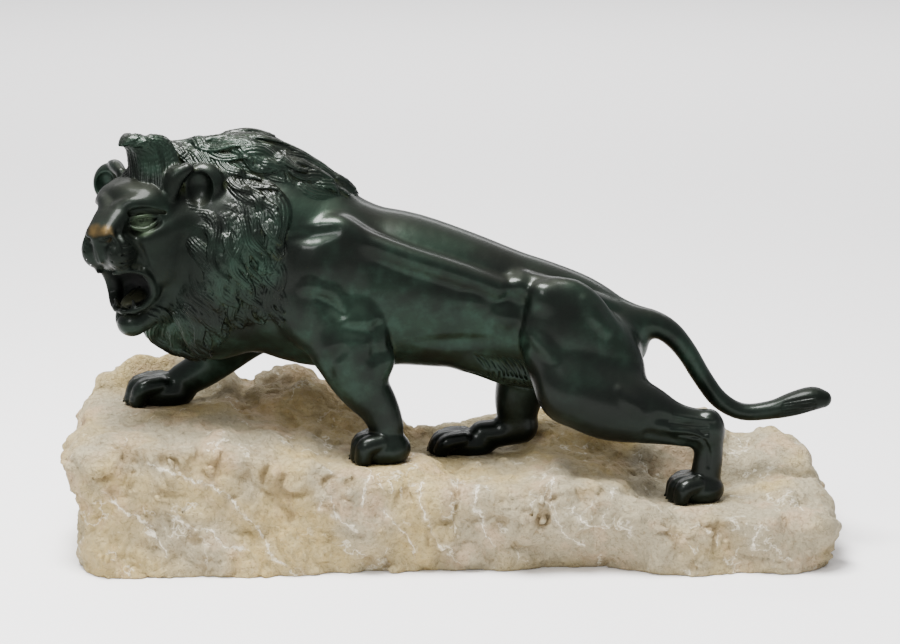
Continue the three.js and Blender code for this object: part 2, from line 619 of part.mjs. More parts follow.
// How far a place is from the middle of a paw's seat, 1 at the seat's edge
const seatReach = ({ at, heading, length, width }, x, y) => {
  const [c, s] = [Math.cos(rad(heading)), Math.sin(rad(heading))];
  const [dx, dy] = [x - at[0], y - at[1]];
  return Math.hypot((c * dx + s * dy) / (length * SEAT.length), (-s * dx + c * dy) / (width * SEAT.width));
};

function rockTop(x, y) {
  const [, front, middle, back] = rowAt(ROCK_TOP, x);
  const across = clamp(y / ROCK_EDGE_Y, -1, 1);
  let height = mix(middle, across < 0 ? front : back, smooth(Math.abs(across)));
  for (const { size, proud, from } of TOP_LUMPS) height += proud * lumps(x / size, y / size, from);
  for (const spec of Object.values(PAWS)) {
    const level = ease((SEAT.from - seatReach(spec, x, y)) / SEAT.over);
    height = mix(height, spec.seat + SEAT.swell, level);
  }
  return height;
}

function rockForm() {
  const distance = (x, y, z) => {
    let bulge = 0;
    for (const { size, rise, proud, from } of SIDE_LUMPS) {
      bulge += proud * lumps(x / size + from, y / size, z / rise);
    }
    const [, headEnd, tailEnd] = rowAt(ROCK_ENDS, z);
    const foot = mix(-rowAt(ROCK_FOOT, x)[1], ROCK_HALF_WIDTH, ease(z / ROCK_FOOT_HEIGHT));
    const qx = Math.max(headEnd - x, x - tailEnd) + ROCK_CORNER;
    const qy = Math.max(-y - foot, y - ROCK_HALF_WIDTH) + ROCK_CORNER;
    const corner = Math.hypot(Math.max(qx, 0), Math.max(qy, 0)) + Math.min(Math.max(qx, qy), 0);
    const side = corner - ROCK_CORNER - bulge;
    const top = z - rockTop(x, y);
    const h = Math.max(ROCK_TOP_ROUND - Math.abs(side - top), 0) / ROCK_TOP_ROUND;
    return Math.max(side, top, -z - ROCK_BELOW) + (h * h * ROCK_TOP_ROUND) / 4;
  };
  const [x, y] = [ROCK_HALF_LENGTH + ROCK_ROOM[0], ROCK_HALF_WIDTH + ROCK_ROOM[1]];
  const low = new THREE.Vector3(-x, -y, -ROCK_BELOW);
  return { low, high: new THREE.Vector3(x, y, ROCK_HEIGHT), distance };
}

// The skin of the clay, by marching through the six tetrahedra of each cell
const TETRAHEDRA = [[0, 1, 3, 7], [0, 1, 5, 7], [0, 2, 3, 7], [0, 2, 6, 7], [0, 4, 5, 7], [0, 4, 6, 7]];
const EDGE_MARGIN = 0.04;

function skin(clay) {
  const { field, low, cell, size } = clay;
  const [nx, ny, nz] = size;
  const offset = [0, 1, 2, 3, 4, 5, 6, 7].map((c) => (c & 1) + nx * (((c >> 1) & 1) + ny * (c >> 2)));
  const points = [];
  const faces = [];
  const known = new Map();
  const corner = (n) => [n % nx, Math.floor(n / nx) % ny, Math.floor(n / (nx * ny))];
  const crossing = (base, a, b) => {
    const [from, to] = a < b ? [a, b] : [b, a];
    const key = (base + offset[from]) * 8 + (to - from);
    if (known.has(key)) return known.get(key);
    const [m, n] = [base + offset[from], base + offset[to]];
    const t = clamp(field[m] / (field[m] - field[n]), EDGE_MARGIN, 1 - EDGE_MARGIN);
    const [p, q] = [corner(m), corner(n)];
    points.push(...low.map((v, i) => v + cell * mix(p[i], q[i], t)));
    known.set(key, points.length / 3 - 1);
    return points.length / 3 - 1;
  };
  // Adds a triangle, turned so that it faces from the solid corners to the empty ones
  const face = (a, b, c, out) => {
    const [ux, uy, uz] = [0, 1, 2].map((i) => points[3 * b + i] - points[3 * a + i]);
    const [vx, vy, vz] = [0, 1, 2].map((i) => points[3 * c + i] - points[3 * a + i]);
    const facing = (uy * vz - uz * vy) * out[0] + (uz * vx - ux * vz) * out[1] + (ux * vy - uy * vx) * out[2];
    if (facing > 0) faces.push(a, b, c);
    else faces.push(a, c, b);
  };
  for (let k = 0; k < nz - 1; k++)
    for (let j = 0; j < ny - 1; j++)
      for (let i = 0; i < nx - 1; i++) {
        const base = i + nx * (j + ny * k);
        const solid = offset.map((o) => field[base + o] < 0);
        if (solid.every((s) => s === solid[0])) continue;
        for (const tetra of TETRAHEDRA) {
          const inside = tetra.filter((c) => solid[c]);
          const outside = tetra.filter((c) => !solid[c]);
          if (!inside.length || !outside.length) continue;
          const mean = (corners, bit) => {
            return corners.reduce((sum, c) => sum + ((c >> bit) & 1), 0) / corners.length;
          };
          const out = [0, 1, 2].map((bit) => mean(outside, bit) - mean(inside, bit));
          const cut = (a, b) => crossing(base, a, b);
          if (inside.length === 2) {
            const [a, b, c, d] = [...inside, ...outside];
            const ring = [cut(a, c), cut(a, d), cut(b, d), cut(b, c)];
            face(ring[0], ring[1], ring[2], out);
            face(ring[0], ring[2], ring[3], out);
          } else {
            const [one, rest] = inside.length === 1 ? [inside[0], outside] : [outside[0], inside];
            face(cut(one, rest[0]), cut(one, rest[1]), cut(one, rest[2]), out);
          }
        }
      }
  return { points, faces };
}

// A min-heap of [cost, ...] entries
class Heap {
  constructor() {
    this.items = [];
  }

  push(item) {
    const a = this.items;
    let n = a.push(item) - 1;
    while (n > 0) {
      const up = (n - 1) >> 1;
      if (a[up][0] <= a[n][0]) break;
      [a[up], a[n]] = [a[n], a[up]];
      n = up;
    }
  }

  pop() {
    const a = this.items;
    const top = a[0];
    const last = a.pop();
    if (a.length) {
      a[0] = last;
      for (let n = 0; ; ) {
        let small = 2 * n + 1;
        if (small >= a.length) break;
        if (small + 1 < a.length && a[small + 1][0] < a[small][0]) small++;
        if (a[n][0] <= a[small][0]) break;
        [a[n], a[small]] = [a[small], a[n]];
        n = small;
      }
    }
    return top;
  }
}

// Where the squared distance to the summed planes is least, or null where the planes are too alike to say.
// A quadric holds xx, xy, xz, xw, yy, yz, yw, zz, zw, ww.
function leastPoint(q) {
  const [a, b, c, d, e, f, g, h, i] = q;
  const det = a * (e * h - f * f) - b * (b * h - f * c) + c * (b * f - e * c);
  if (Math.abs(det) < 1e-7 * (a + e + h) ** 3) return null;
  return [
    -(d * (e * h - f * f) - b * (g * h - f * i) + c * (g * f - e * i)) / det,
    -(a * (g * h - f * i) - d * (b * h - f * c) + c * (b * i - g * c)) / det,
    -(a * (e * i - g * f) - b * (b * i - g * c) + d * (b * f - e * c)) / det,
  ];
}

const planeError = (q, [x, y, z]) =>
  q[0] * x * x + 2 * q[1] * x * y + 2 * q[2] * x * z + 2 * q[3] * x + q[4] * y * y +
  2 * q[5] * y * z + 2 * q[6] * y + q[7] * z * z + 2 * q[8] * z + q[9];

// Joining goes on in the order of what it costs the surface, and a little by how long the lost edge is.
// The joined corner keeps within a reach of the edge's middle, in edge lengths, and no face turns too far.
const EDGE_COST = { square: 1e-5, fourth: 4e-4 };
const GOAL_REACH = 1.5;
const LEAST_TURN = 0.25;

// Joins the edge whose loss changes the surface least, again and again, until few enough faces are left
function simplify({ points, faces }, target) {
  const count = points.length / 3;
  const three = (list, n) => [list[3 * n], list[3 * n + 1], list[3 * n + 2]];
  const spots = Array.from({ length: count }, (_, n) => three(points, n));
  const tris = Array.from({ length: faces.length / 3 }, (_, n) => three(faces, n));
  const around = Array.from({ length: count }, () => new Set());
  const quadrics = Array.from({ length: count }, () => new Float64Array(10));
  const version = new Uint32Array(count);
  const normalOf = (p, q, r) => {
    const [ux, uy, uz] = [q[0] - p[0], q[1] - p[1], q[2] - p[2]];
    const [vx, vy, vz] = [r[0] - p[0], r[1] - p[1], r[2] - p[2]];
    return [uy * vz - uz * vy, uz * vx - ux * vz, ux * vy - uy * vx];
  };
  tris.forEach((tri, n) => {
    const [p, q, r] = tri.map((v) => spots[v]);
    const [x, y, z] = normalOf(p, q, r);
    const size = Math.hypot(x, y, z) || 1e-12;
    const [a, b, c] = [x / size, y / size, z / size];
    const d = -(a * p[0] + b * p[1] + c * p[2]);
    const plane = [a * a, a * b, a * c, a * d, b * b, b * c, b * d, c * c, c * d, d * d];
    for (const v of tri) {
      around[v].add(n);
      plane.forEach((value, i) => (quadrics[v][i] += value * size * 0.5));
    }
  });
  const heap = new Heap();
  const offer = (a, b) => {
    const q = quadrics[a].map((value, i) => value + quadrics[b][i]);
    const [p, r] = [spots[a], spots[b]];
    const middle = [0, 1, 2].map((i) => (p[i] + r[i]) / 2);
    const length2 = (p[0] - r[0]) ** 2 + (p[1] - r[1]) ** 2 + (p[2] - r[2]) ** 2;
    const best = leastPoint(q);
    const near = best && Math.hypot(...best.map((v, i) => v - middle[i])) < GOAL_REACH * Math.sqrt(length2);
    const goal = near ? best : middle;
    const cost = planeError(q, goal) + EDGE_COST.square * length2 + EDGE_COST.fourth * length2 * length2;
    heap.push([cost, a, b, version[a] + version[b], goal]);
  };
  const neighbours = (v) => {
    const found = new Set();
    for (const n of around[v]) for (const w of tris[n]) if (w !== v) found.add(w);
    return found;
  };
  for (let v = 0; v < count; v++) for (const w of neighbours(v)) if (v < w) offer(v, w);
  let alive = tris.length;
  const turnsOver = (v, other, goal) => {
    for (const n of around[v]) {
      const tri = tris[n];
      if (tri.includes(other)) continue;
      const before = normalOf(...tri.map((w) => spots[w]));
      const after = normalOf(...tri.map((w) => (w === v ? goal : spots[w])));
      const dot = before[0] * after[0] + before[1] * after[1] + before[2] * after[2];
      if (dot <= LEAST_TURN * Math.hypot(...before) * Math.hypot(...after)) return true;
    }
    return false;
  };
  while (alive > target && heap.items.length) {
    const [, a, b, stamp, goal] = heap.pop();
    if (!around[a].size || !around[b].size || version[a] + version[b] !== stamp) continue;
    const [near, far] = [neighbours(a), neighbours(b)];
    if (!near.has(b)) continue;
    let shared = 0;
    for (const v of near) if (far.has(v)) shared++;
    if (shared !== 2 || turnsOver(a, b, goal) || turnsOver(b, a, goal)) continue;
    for (const n of around[b]) {
      const tri = tris[n];
      if (tri.includes(a)) {
        for (const v of tri) if (v !== b) around[v].delete(n);
        tris[n] = null;
        alive--;
      } else {
        tri[tri.indexOf(b)] = a;
        around[a].add(n);
      }
    }
    around[b] = new Set();
    spots[a] = goal;
    quadrics[a] = quadrics[a].map((value, i) => value + quadrics[b][i]);
    version[a]++;
    for (const v of neighbours(a)) offer(a, v);
  }
  return { points: spots.flat(), faces: tris.filter(Boolean).flat() };
}

const wasm = await Module();
wasm.setup();

function solidOf({ points, faces }) {
  return new wasm.Manifold(new wasm.Mesh({
    numProp: 3,
    vertProperties: new Float32Array(points),
    triVerts: new Uint32Array(faces),
  }));
}

function solidOfGeometry(geometry) {
  geometry.deleteAttribute("normal");
  geometry.deleteAttribute("uv");
  const merged = mergeVertices(geometry, 1e-4);
  return solidOf({ points: merged.attributes.position.array, faces: merged.index.array });
}

function meshOf(name, solid, material) {
  const { vertProperties, triVerts } = solid.getMesh();
  const geometry = new THREE.BufferGeometry();
  geometry.setAttribute("position", new THREE.BufferAttribute(vertProperties, 3));
  geometry.setIndex(new THREE.BufferAttribute(triVerts, 1));
  geometry.computeVertexNormals();
  const mesh = new THREE.Mesh(geometry, material);
  mesh.name = name;
  return mesh;
}

// An upright oval block around a paw's sole, from one height above its seat to another
function soleBlock({ at, seat, heading, length, width }, reach, bottom, top) {
  const oval = new THREE.Shape();
  oval.absellipse(0, 0, length * reach, width * reach, 0, 2 * Math.PI);
  const settings = { depth: top - bottom, bevelEnabled: false, curveSegments: 6 };
  const geometry = new THREE.ExtrudeGeometry(oval, settings);
  geometry.rotateZ(rad(heading)).translate(at[0], at[1], seat + bottom);
  return solidOfGeometry(geometry);
}

function lionSolid() {
  let solid = solidOf(simplify(skin(lionClay()), LION_TRIANGLES));
  for (const spec of Object.values(PAWS)) solid = solid.subtract(soleBlock(spec, SOLE_CUT, -FAR, SEAT_GAP));
  return solid;
}

function rockSolid() {
  const form = rockForm();
  const room = 3 * ROCK_CELL;
  const low = form.low.toArray().map((v) => v - room);
  const high = form.high.toArray().map((v) => v + room);
  const clay = new Clay(low, high, ROCK_CELL);
  clay.press(form, 1);
  let solid = solidOf(simplify(skin(clay), ROCK_TRIANGLES));
  for (const spec of Object.values(PAWS)) solid = solid.subtract(soleBlock(spec, SEAT_POCKET, 0, FAR));
  const table = new THREE.BoxGeometry(1000, 1000, 2 * ROCK_HEIGHT).translate(0, 0, -ROCK_HEIGHT);
  return solid.subtract(solidOfGeometry(table));
}

const bronze = new THREE.MeshStandardMaterial({ color: 0x1d2a24, roughness: 0.35, metalness: 0.7 });
const limestone = new THREE.MeshStandardMaterial({ color: 0xb8aa90, roughness: 0.9, metalness: 0 });

const sculpture = new THREE.Group();
sculpture.add(meshOf("lion", lionSolid(), bronze));
sculpture.add(meshOf("rock_base", rockSolid(), limestone));

export default sculpture;
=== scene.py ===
"""Cast bronze lion on a rough limestone rock: fine relief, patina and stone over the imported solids.

Lengths are in millimetres up to where a mesh is made, and Blender's objects are in metres.
"""
import math

import bpy
import numpy as np
import openvdb
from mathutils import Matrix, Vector


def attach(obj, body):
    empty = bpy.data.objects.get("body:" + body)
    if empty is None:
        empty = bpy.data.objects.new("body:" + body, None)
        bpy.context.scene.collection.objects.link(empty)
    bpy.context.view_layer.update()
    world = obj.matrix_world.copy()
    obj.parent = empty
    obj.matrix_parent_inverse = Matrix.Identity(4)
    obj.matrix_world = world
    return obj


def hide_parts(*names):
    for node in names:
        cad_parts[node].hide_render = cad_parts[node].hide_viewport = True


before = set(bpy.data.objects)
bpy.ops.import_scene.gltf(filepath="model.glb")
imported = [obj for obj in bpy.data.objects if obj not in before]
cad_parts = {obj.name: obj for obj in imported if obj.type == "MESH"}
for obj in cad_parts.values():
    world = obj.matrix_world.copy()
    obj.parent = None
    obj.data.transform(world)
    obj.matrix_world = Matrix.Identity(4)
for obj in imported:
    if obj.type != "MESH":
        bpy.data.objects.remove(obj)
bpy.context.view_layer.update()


def egg(at, size, blend, turn=(0, 0, 0)):
    """A form with a middle, three half sizes and a turn in degrees. Blend is how softly it joins the rest."""
    return {"at": at, "size": size, "blend": blend, "turn": turn}


def rod(path, blend, ratio=1, flat=(0, 1, 0)):
    """A form along a smooth path of x, y, z and radius, flattened by a ratio along a direction."""
    return {"path": path, "blend": blend, "ratio": ratio, "flat": flat}


def flank(*rows):
    """Lines beside the lion's near side, from rows of the x and z of their points."""
    return [[[x, BESIDE_FLANK, z] for x, z in zip(row[::2], row[1::2])] for row in rows]


# Driving dimensions
MM = 0.001
LION_BOX = [[-345, -100, 40], [360, 80, 400]]
LION_CELL = 0.8
ROCK_HALF_LENGTH = 345
ROCK_HALF_WIDTH = 97
ROCK_HEIGHT = 175
ROCK_CORNER = 34
ROCK_CELL = 1.6
SEAT_GAP = 0.3
PIECE_TRIANGLES = 190000
# The casting's mesh is in three closed lengths that run a little way into each other
LION_LENGTHS = {"lion_head": [-345, -216], "lion_mane": [-219, -124], "lion_body": [-127, 360]}
# How far out the depth of a hollow is felt for
HOLLOW_REACH = {"lion": 3, "rock": 5}

# The body and its legs
BODY = {
    "trunk": rod([
        [-165, 0, 258, 74], [-120, 0, 246, 77], [-80, 0, 241, 74], [-45, 0, 239, 69.5], [0, 0, 230, 63],
        [45, 0, 221, 54.5], [75, 0, 214, 51.5], [105, 0, 205, 48.5], [130, 0, 197, 41], [148, 0, 191, 31],
    ], 10, ratio=0.68),
    "near_flank_edge": rod([
        [-95, -37, 298, 10], [-44, -40, 278, 10], [0, -38, 263, 9.5], [42, -34, 247, 9],
    ], 7),
    "far_flank_edge": rod([
        [-95, 34, 300, 13], [-44, 36, 279, 13], [0, 34, 264, 12], [42, 31, 248, 11],
    ], 12),
    "neck": rod([[-125, 0, 272, 62], [-190, -4, 290, 58], [-245, -12, 300, 44]], 20, ratio=0.8),
    "flank_tuft": rod([[20, 0, 178, 14], [48, 0, 163, 12], [72, 0, 160, 12]], 14, ratio=1.6),
    "rump": egg([146, 0, 194], [22, 30, 28], 14, [0, 30, 0]),
}
NEAR_FORELEG = {
    "shoulder_blade": egg([-108, -40, 262], [36, 17, 50], 8, [0, 18, 0]),
    "shoulder_point": egg([-122, -42, 222], [26, 17, 34], 9, [0, -25, 0]),
    "upper_arm": egg([-90, -46, 206], [34, 17, 38], 7, [0, -25, 0]),
    "elbow": egg([-66, -43, 184], [17, 12, 18], 7, [0, -20, 0]),
    "forearm": rod([
        [-96, -42, 192, 27], [-84, -42, 172, 26], [-75, -42, 156, 22], [-64, -41, 140, 18],
        [-57, -41, 122, 15.5], [-59, -41, 108, 15],
    ], 9, ratio=0.85),
}
FAR_FORELEG = {
    "shoulder_blade": egg([-120, 40, 260], [36, 17, 50], 8, [0, 18, 0]),
    "upper_arm": egg([-150, 40, 214], [36, 18, 38], 12, [0, -10, 0]),
    "forearm": rod([
        [-160, 36, 204, 26], [-186, 35, 190, 24], [-210, 34, 169, 19.5], [-230, 34, 154, 17],
        [-244, 34, 146, 15.5],
    ], 10, ratio=0.9),
}
NEAR_HIND_LEG = {
    "thigh": egg([108, -36, 194], [44, 19, 62], 6, [0, -14, 0]),
    "thigh_foot": rod([[92, -38, 180, 17], [106, -42, 152, 20]], 10),
    "buttock": egg([141, -28, 182], [29, 21, 46], 10, [0, -28, 0]),
    "gaskin": rod([
        [110, -43, 156, 32], [140, -44, 144, 33], [168, -44, 136, 28], [192, -43, 127, 21],
        [214, -42, 121, 17.5], [228, -42, 119, 16],
    ], 12, ratio=0.72),
    "heel_bone": rod([[206, -42, 128, 9], [231, -42, 127, 10.5]], 5),
    "shank": rod([[229, -42, 118, 15], [231, -42, 98, 13], [229, -42, 78, 13.5]], 6, ratio=0.85),
}
FAR_HIND_LEG = {
    "thigh": egg([88, 33, 194], [42, 19, 58], 9, [0, 8, 0]),
    "gaskin": rod([
        [78, 33, 166, 30], [66, 33, 140, 24], [62, 33, 120, 20], [64, 33, 106, 16],
    ], 12, ratio=0.8),
    "shank": rod([[66, 33, 100, 13], [48, 33, 96, 13], [30, 33, 94, 13]], 8),
}
TAIL = {
    "tail": rod([
        [138, 0, 203, 18], [158, 0, 208, 14.5], [178, 0, 208, 12.5], [197, 1, 199, 11], [213, 3, 181, 9.6],
        [229, 5, 155, 8.8], [245, 6, 134, 8.4], [266, 6, 123, 7.8], [292, 5, 125, 8.6], [312, 4, 131, 11],
        [328, 3, 136, 11], [338, 2, 136, 8],
    ], 10),
}
# Paws. The pad and the toes are in shares of a paw's sizes. A toe's rows have the shares of the paw's length
# behind the tip, of the toe's own y, of the paw's height and of the toe's radius.
PAWS = {
    "near_fore": {"at": [-62, -41], "seat": 90, "heading": 180, "length": 56, "width": 42, "height": 32},
    "far_fore": {"at": [-266, 34], "seat": 124, "heading": 183, "length": 68, "width": 42, "height": 32},
    "near_hind": {"at": [220, -42], "seat": 54, "heading": 184, "length": 54, "width": 40, "height": 28},
    "far_hind": {"at": [12, 33], "seat": 77, "heading": 180, "length": 66, "width": 38, "height": 24},
}
PAD = {"behind": 0.06, "rise": 0.36, "size": [0.42, 0.44, 0.56], "blend": 4}
TOES = {"count": 4, "reach": 0.5, "shorter": 0.09, "spread": 0.34, "radius": 0.19, "blend": 1.6}
TOE_ROWS = [[0.42, 0.75, 0.62, 1.05], [0.2, 1, 0.52, 1.12]]
TOE_TIP = 0.75
# A claw's rows: how far past the toe's tip, in shares of the toe's radius and in millimetres, how high in
# shares of that radius, and the claw's own radius
CLAW_ROWS = [[-0.4, 0, 0.9, 1.8], [0, 0.6, 0.4, 0.9]]
CLAW_BLEND = 0.6
SOLE = {"reach": 0.72, "above": 4}

# The head, in its own frame: x out of the nose, y to the lion's left and z up
HEAD = {"at": [-279, -41, 314], "yaw": 236, "roll": 3}
SKULL = {
    "cranium": egg([-28, 0, 0], [42, 44, 38], 10),
    "forehead": egg([-2, 0, 12], [22, 31, 18], 8, [0, -20, 0]),
    "bridge": rod([[0, 0, 5, 18], [20, 0, -1, 15], [36, 0, -10, 12]], 7),
    "chops": egg([27, 0, -25], [20, 18, 18], 6),
    "palate": egg([2, 0, -32], [30, 25, 20], 10),
    "nose": egg([43, 0, -12.5], [7.5, 14, 6.5], 2, [0, 25, 0]),
    "nose_front": rod([[43, 0, -15, 7], [45.5, 0, -24, 4.5], [45, 0, -33, 3]], 2),
    "throat": egg([-34, 0, -62], [30, 32, 34], 12),
}
CHEEKS = {
    "bridge_side": rod([[6, 9, 9, 11], [22, 8, 3, 10], [40, 8, -9, 7]], 5),
    "chop": egg([30, 12, -27], [18, 12, 16.5], 3, [0, 8, 14]),
    "cheek": egg([-14, 24, -32], [26, 18, 34], 10),
    "cheek_bone": rod([[10, 25, -18, 6], [-4, 33, -13, 9], [-24, 39, -8, 11]], 12),
    "jaw": rod([[-34, 28, -40, 17], [-20, 19, -68, 14], [-2, 9, -90, 11]], 8),
    "temple": egg([-4, 21, 9], [18, 15, 16], 8),
    "brow_ridge": rod([[22, 7, 9, 5], [16, 16, 13, 6.5], [8, 25, 11.5, 5.5], [-2, 32, 8, 3.5]], 5),
}
CHIN = {"chin": egg([8, 0, -95], [14, 14, 12], 6, [0, 10, 0])}
MOUTH = {"cavity": egg([27, 0, -63], [28, 23.5, 18], 3, [0, 10, 0])}
LIPS = {
    "corner": rod([[14, 22, -47, 3], [4, 23, -57, 5], [2, 22, -69, 5], [9, 16, -79, 3.5]], 4),
    "lip": rod([
        [38, 9, -45, 1.6], [28, 19, -44, 1.8], [16, 25, -49, 1.8], [9, 26, -58, 2], [7, 25, -69, 2],
        [12, 19, -78, 2], [18, 9, -82, 2], [20, 0, -82.5, 2],
    ], 4),
}
SOCKETS = {"socket": egg([14, 27, -3], [14.5, 10.5, 7.5], 3, [0, 0, -50])}
EYES = {
    "eye": egg([6, 17.5, -3.5], [12, 12, 8.5], 1.2),
    "upper_lid": rod([[19.5, 11, -3, 1.6], [18, 20.5, 2, 2.3], [11, 28, 2.5, 2.3], [0, 33.5, 0, 1.5]], 1.2),
    "lower_lid": rod([
        [19.5, 11, -4, 1.6], [18, 19.5, -8.5, 1.9], [11, 27.5, -9, 1.9], [0, 33.5, -1, 1.5],
    ], 1.2),
}
EARS = {
    "near": egg([-37, 53, 25], [9, 17.5, 18], 5, [0, -8, 34]),
    "near_flap": rod([[-12, 36, 18, 6], [-16, 39, 32, 8.5], [-22, 48, 39, 6]], 5),
    "far": egg([-38, -57, 20], [9, 17, 18], 5, [0, -8, 4]),
    "far_root": rod([[-42, -34, 12, 17], [-42, -50, 18, 12]], 8),
    "far_flap": rod([[-22, -28, 33, 5], [-29, -40, 37, 6], [-36, -52, 38, 3]], 5),
}
EAR_HOLLOWS = {
    "near": egg([-26, 56, 22], [12, 13, 16], 2, [0, -8, 34]),
    "far": egg([-28, -56, 19], [12, 12, 13], 2, [0, -8, 4]),
}
TEETH = {
    "upper": rod([[34, 10, -40, 2.6], [33, 10, -46, 1.2]], 1.5),
    "lower": rod([[15, 10, -82, 2.8], [17, 10, -73, 1.2]], 1.5),
}
FORELOCK = {
    "root": rod([[-36, 4, 38, 20], [-25, 5, 46, 14], [-20, 6, 52, 8]], 8),
    "curl": rod([[-22, 5, 40, 9], [-18, 6, 52, 8], [-10, 6, 58, 5]], 4, ratio=1.6),
}
BEARD = {"beard": rod([[-16, 0, -86, 15], [-33, 0, -98, 16], [-52, 0, -107, 20]], 10)}

# The mane. A row of the hair's fall has its x and z, and its direction in x and z.
MANE = {
    "ruff": egg([-206, -6, 276], [52, 56, 72], 16, [0, 12, 0]),
    "nape": egg([-160, 0, 290], [50, 46, 62], 16, [0, 20, 0]),
    "breast": egg([-214, -2, 220], [42, 42, 46], 18, [0, -25, 0]),
    "crest": rod([
        [-252, -14, 350, 18], [-228, -5, 347, 21], [-189, 0, 351, 26], [-157, 0, 341, 25],
        [-128, 0, 329, 20], [-104, 0, 318, 15],
    ], 14),
}
HAIR_FALL = [
    [-234, 372, 0.75, -0.6], [-189, 381, 0.95, -0.2], [-157, 363, 0.9, -0.45], [-117, 340, 0.9, -0.4],
    [-211, 340, 0.85, -0.5], [-180, 326, 0.6, -0.8], [-148, 321, 0.35, -0.95], [-229, 310, 0.75, -0.65],
    [-216, 289, 0.3, -0.95], [-234, 275, 0.5, -0.85], [-184, 280, 0.1, -1], [-148, 284, 0.15, -1],
    [-220, 238, 0.35, -0.95], [-243, 220, 0.45, -0.9], [-193, 229, 0.35, -0.95], [-162, 238, 0.3, -0.95],
    [-211, 197, 0.5, -0.85],
]
FALL_REACH = 60
MANE_EDGE = {
    "cheek": [56, 17], "chin_from": -48, "chin_over": 40, "brow_height": 26, "brow_x": -4,
    "rear": [-86, -150], "rear_from": 12, "rear_over": 22, "lowest": [180, 216], "lowest_from": -225,
    "lowest_over": 40, "ear": [-31, 58, 22], "ear_reach": 19,
}
PICTURE_ACROSS = [-0.559, 0.829]
EYE_X = 14
ROOTS_FROM = [-300, -90, 170]
ROOTS_TO = [-90, 90, 390]
# Layers of locks. A lock's middle runs from its sink below the surface, at its root, to its rise above it.
# Locks side by side are apart by a distance, and one starts below another after a share of its length.
LOCKS = [
    {
        "grid": 10, "apart": 14.5, "after": 0.5, "inside": 12, "step": 9.5, "steps": 8, "radius": 11,
        "flatness": 0.55, "blend": 0.5, "sink": -4, "rise": 4, "wave": 0.5, "turns": 1.1, "strands": 7,
        "groove": 1.4,
    },
    {
        "grid": 7, "apart": 7.5, "after": 0.3, "inside": 5, "step": 7.5, "steps": 10, "radius": 6,
        "flatness": 0.5, "blend": 0.5, "sink": -2.2, "rise": 3, "wave": 0.6, "turns": 1.3, "strands": 4,
        "groove": 1.3,
    },
]
# Locks end this far outside the mane, vary in width between two shares and swing along their fall
LOCK_TIP = -4
LOCK_SPREAD = [0.8, 1.2]
LOCK_BULGE = {"root": 0.06, "power": 0.8, "least": 0.3}
LOCK_FEWEST = 3
LOCK_SWING = {"reach": 0.24, "x": 23, "z": 31, "stray": 0.1}
# The tuft over the forehead: x, z and radius along a lock, and the y of each lock
FORELOCK_CURL = [[0, 25, 3.5], [-6, 37, 6.5], [-9, 49, 7.5], [-8, 60, 7.5], [-2, 66, 6], [5, 63, 2.2]]
FORELOCK_SIDES = [-13, -8, -3, 2, 7, 12, 17, 22, 27]
FORELOCK_LOCK = {
    "flat": [0.8, 0, 0.6], "ratio": 0.6, "blend": 0.8, "gather": 0.1, "lean": 12, "behind": 0.02,
    "lower": 0.08, "stray": [1.2, 1], "stray_turn": [2.4, 1.7], "strands": 5, "groove": 1.2,
}

# Details of the face, in the head's frame
GAZE = [0.76, 0.58, 0.25]
IRIS = {"reach": 5.4, "line": 0.8, "sides": 16}
PUPIL = {"size": 2.4, "out": 0.6, "blend": 0.6}
BROW_CREASES = {
    "crease": rod([[23, 11, 3.5, 2.2], [19, 21, 6.5, 3.2], [11, 29.5, 7, 2.8], [-2, 36, 3.5, 1.6]], 2),
}
NOSTRILS = {"nostril": rod([[50, 6, -15, 1.8], [47.5, 10, -15.5, 2.6], [43, 13, -12, 1.8]], 1.2)}
PHILTRUM = {"philtrum": rod([[52, 0, -22, 1.4], [49, 0, -32, 1.6], [44, 0, -42, 1.6]], 1.5)}
TONGUE = {
    "tongue": rod([
        [-8, 0, -70, 9], [4, 0, -75, 10], [10, 0, -77, 8], [14, 0, -79, 5],
    ], 2, ratio=0.5, flat=[0, 0, 1]),
}
TONGUE_LINE = {"line": rod([[-6, 0, -65, 1], [4, 0, -70, 1.2], [10, 0, -73, 1]], 1)}
# Rows of small teeth: x, z and height of the middle one, and the radius
FRONT_TEETH = [[17, -82, 4, 1.8], [33, -41, -3, 1.5]]
FRONT_TOOTH = {"sides": [-6, -3, 0, 3, 6], "bow": 3, "tip": 0.6, "blend": 0.8}
WHISKER_LINES = [
    [[46, 13, -20], [38, 22, -21], [27, 26, -20]],
    [[46, 14, -26], [38, 23, -28], [26, 27, -27]],
    [[45, 14, -32], [37, 22, -35], [25, 26, -35]],
    [[43, 13, -38], [35, 21, -41], [24, 24, -42]],
]
SNARL_LINES = [[[38, 17, -8], [29, 23, -14], [21, 27, -26], [16, 28, -40]]]
SNARL_FOLDS = [[[44, 16, -10], [42, 19, -18], [41, 20, -26]], [[30, 16, -2], [34, 18, -10], [36, 20, -18]]]
# Lines of the face with their width, depth and blend, and whether they stand proud
FACE_SCORES = [
    [WHISKER_LINES, 2, 1, 0.8, False],
    [SNARL_LINES, 4, 1.5, 3, False],
    [SNARL_FOLDS, 4, 1.4, 2, True],
]

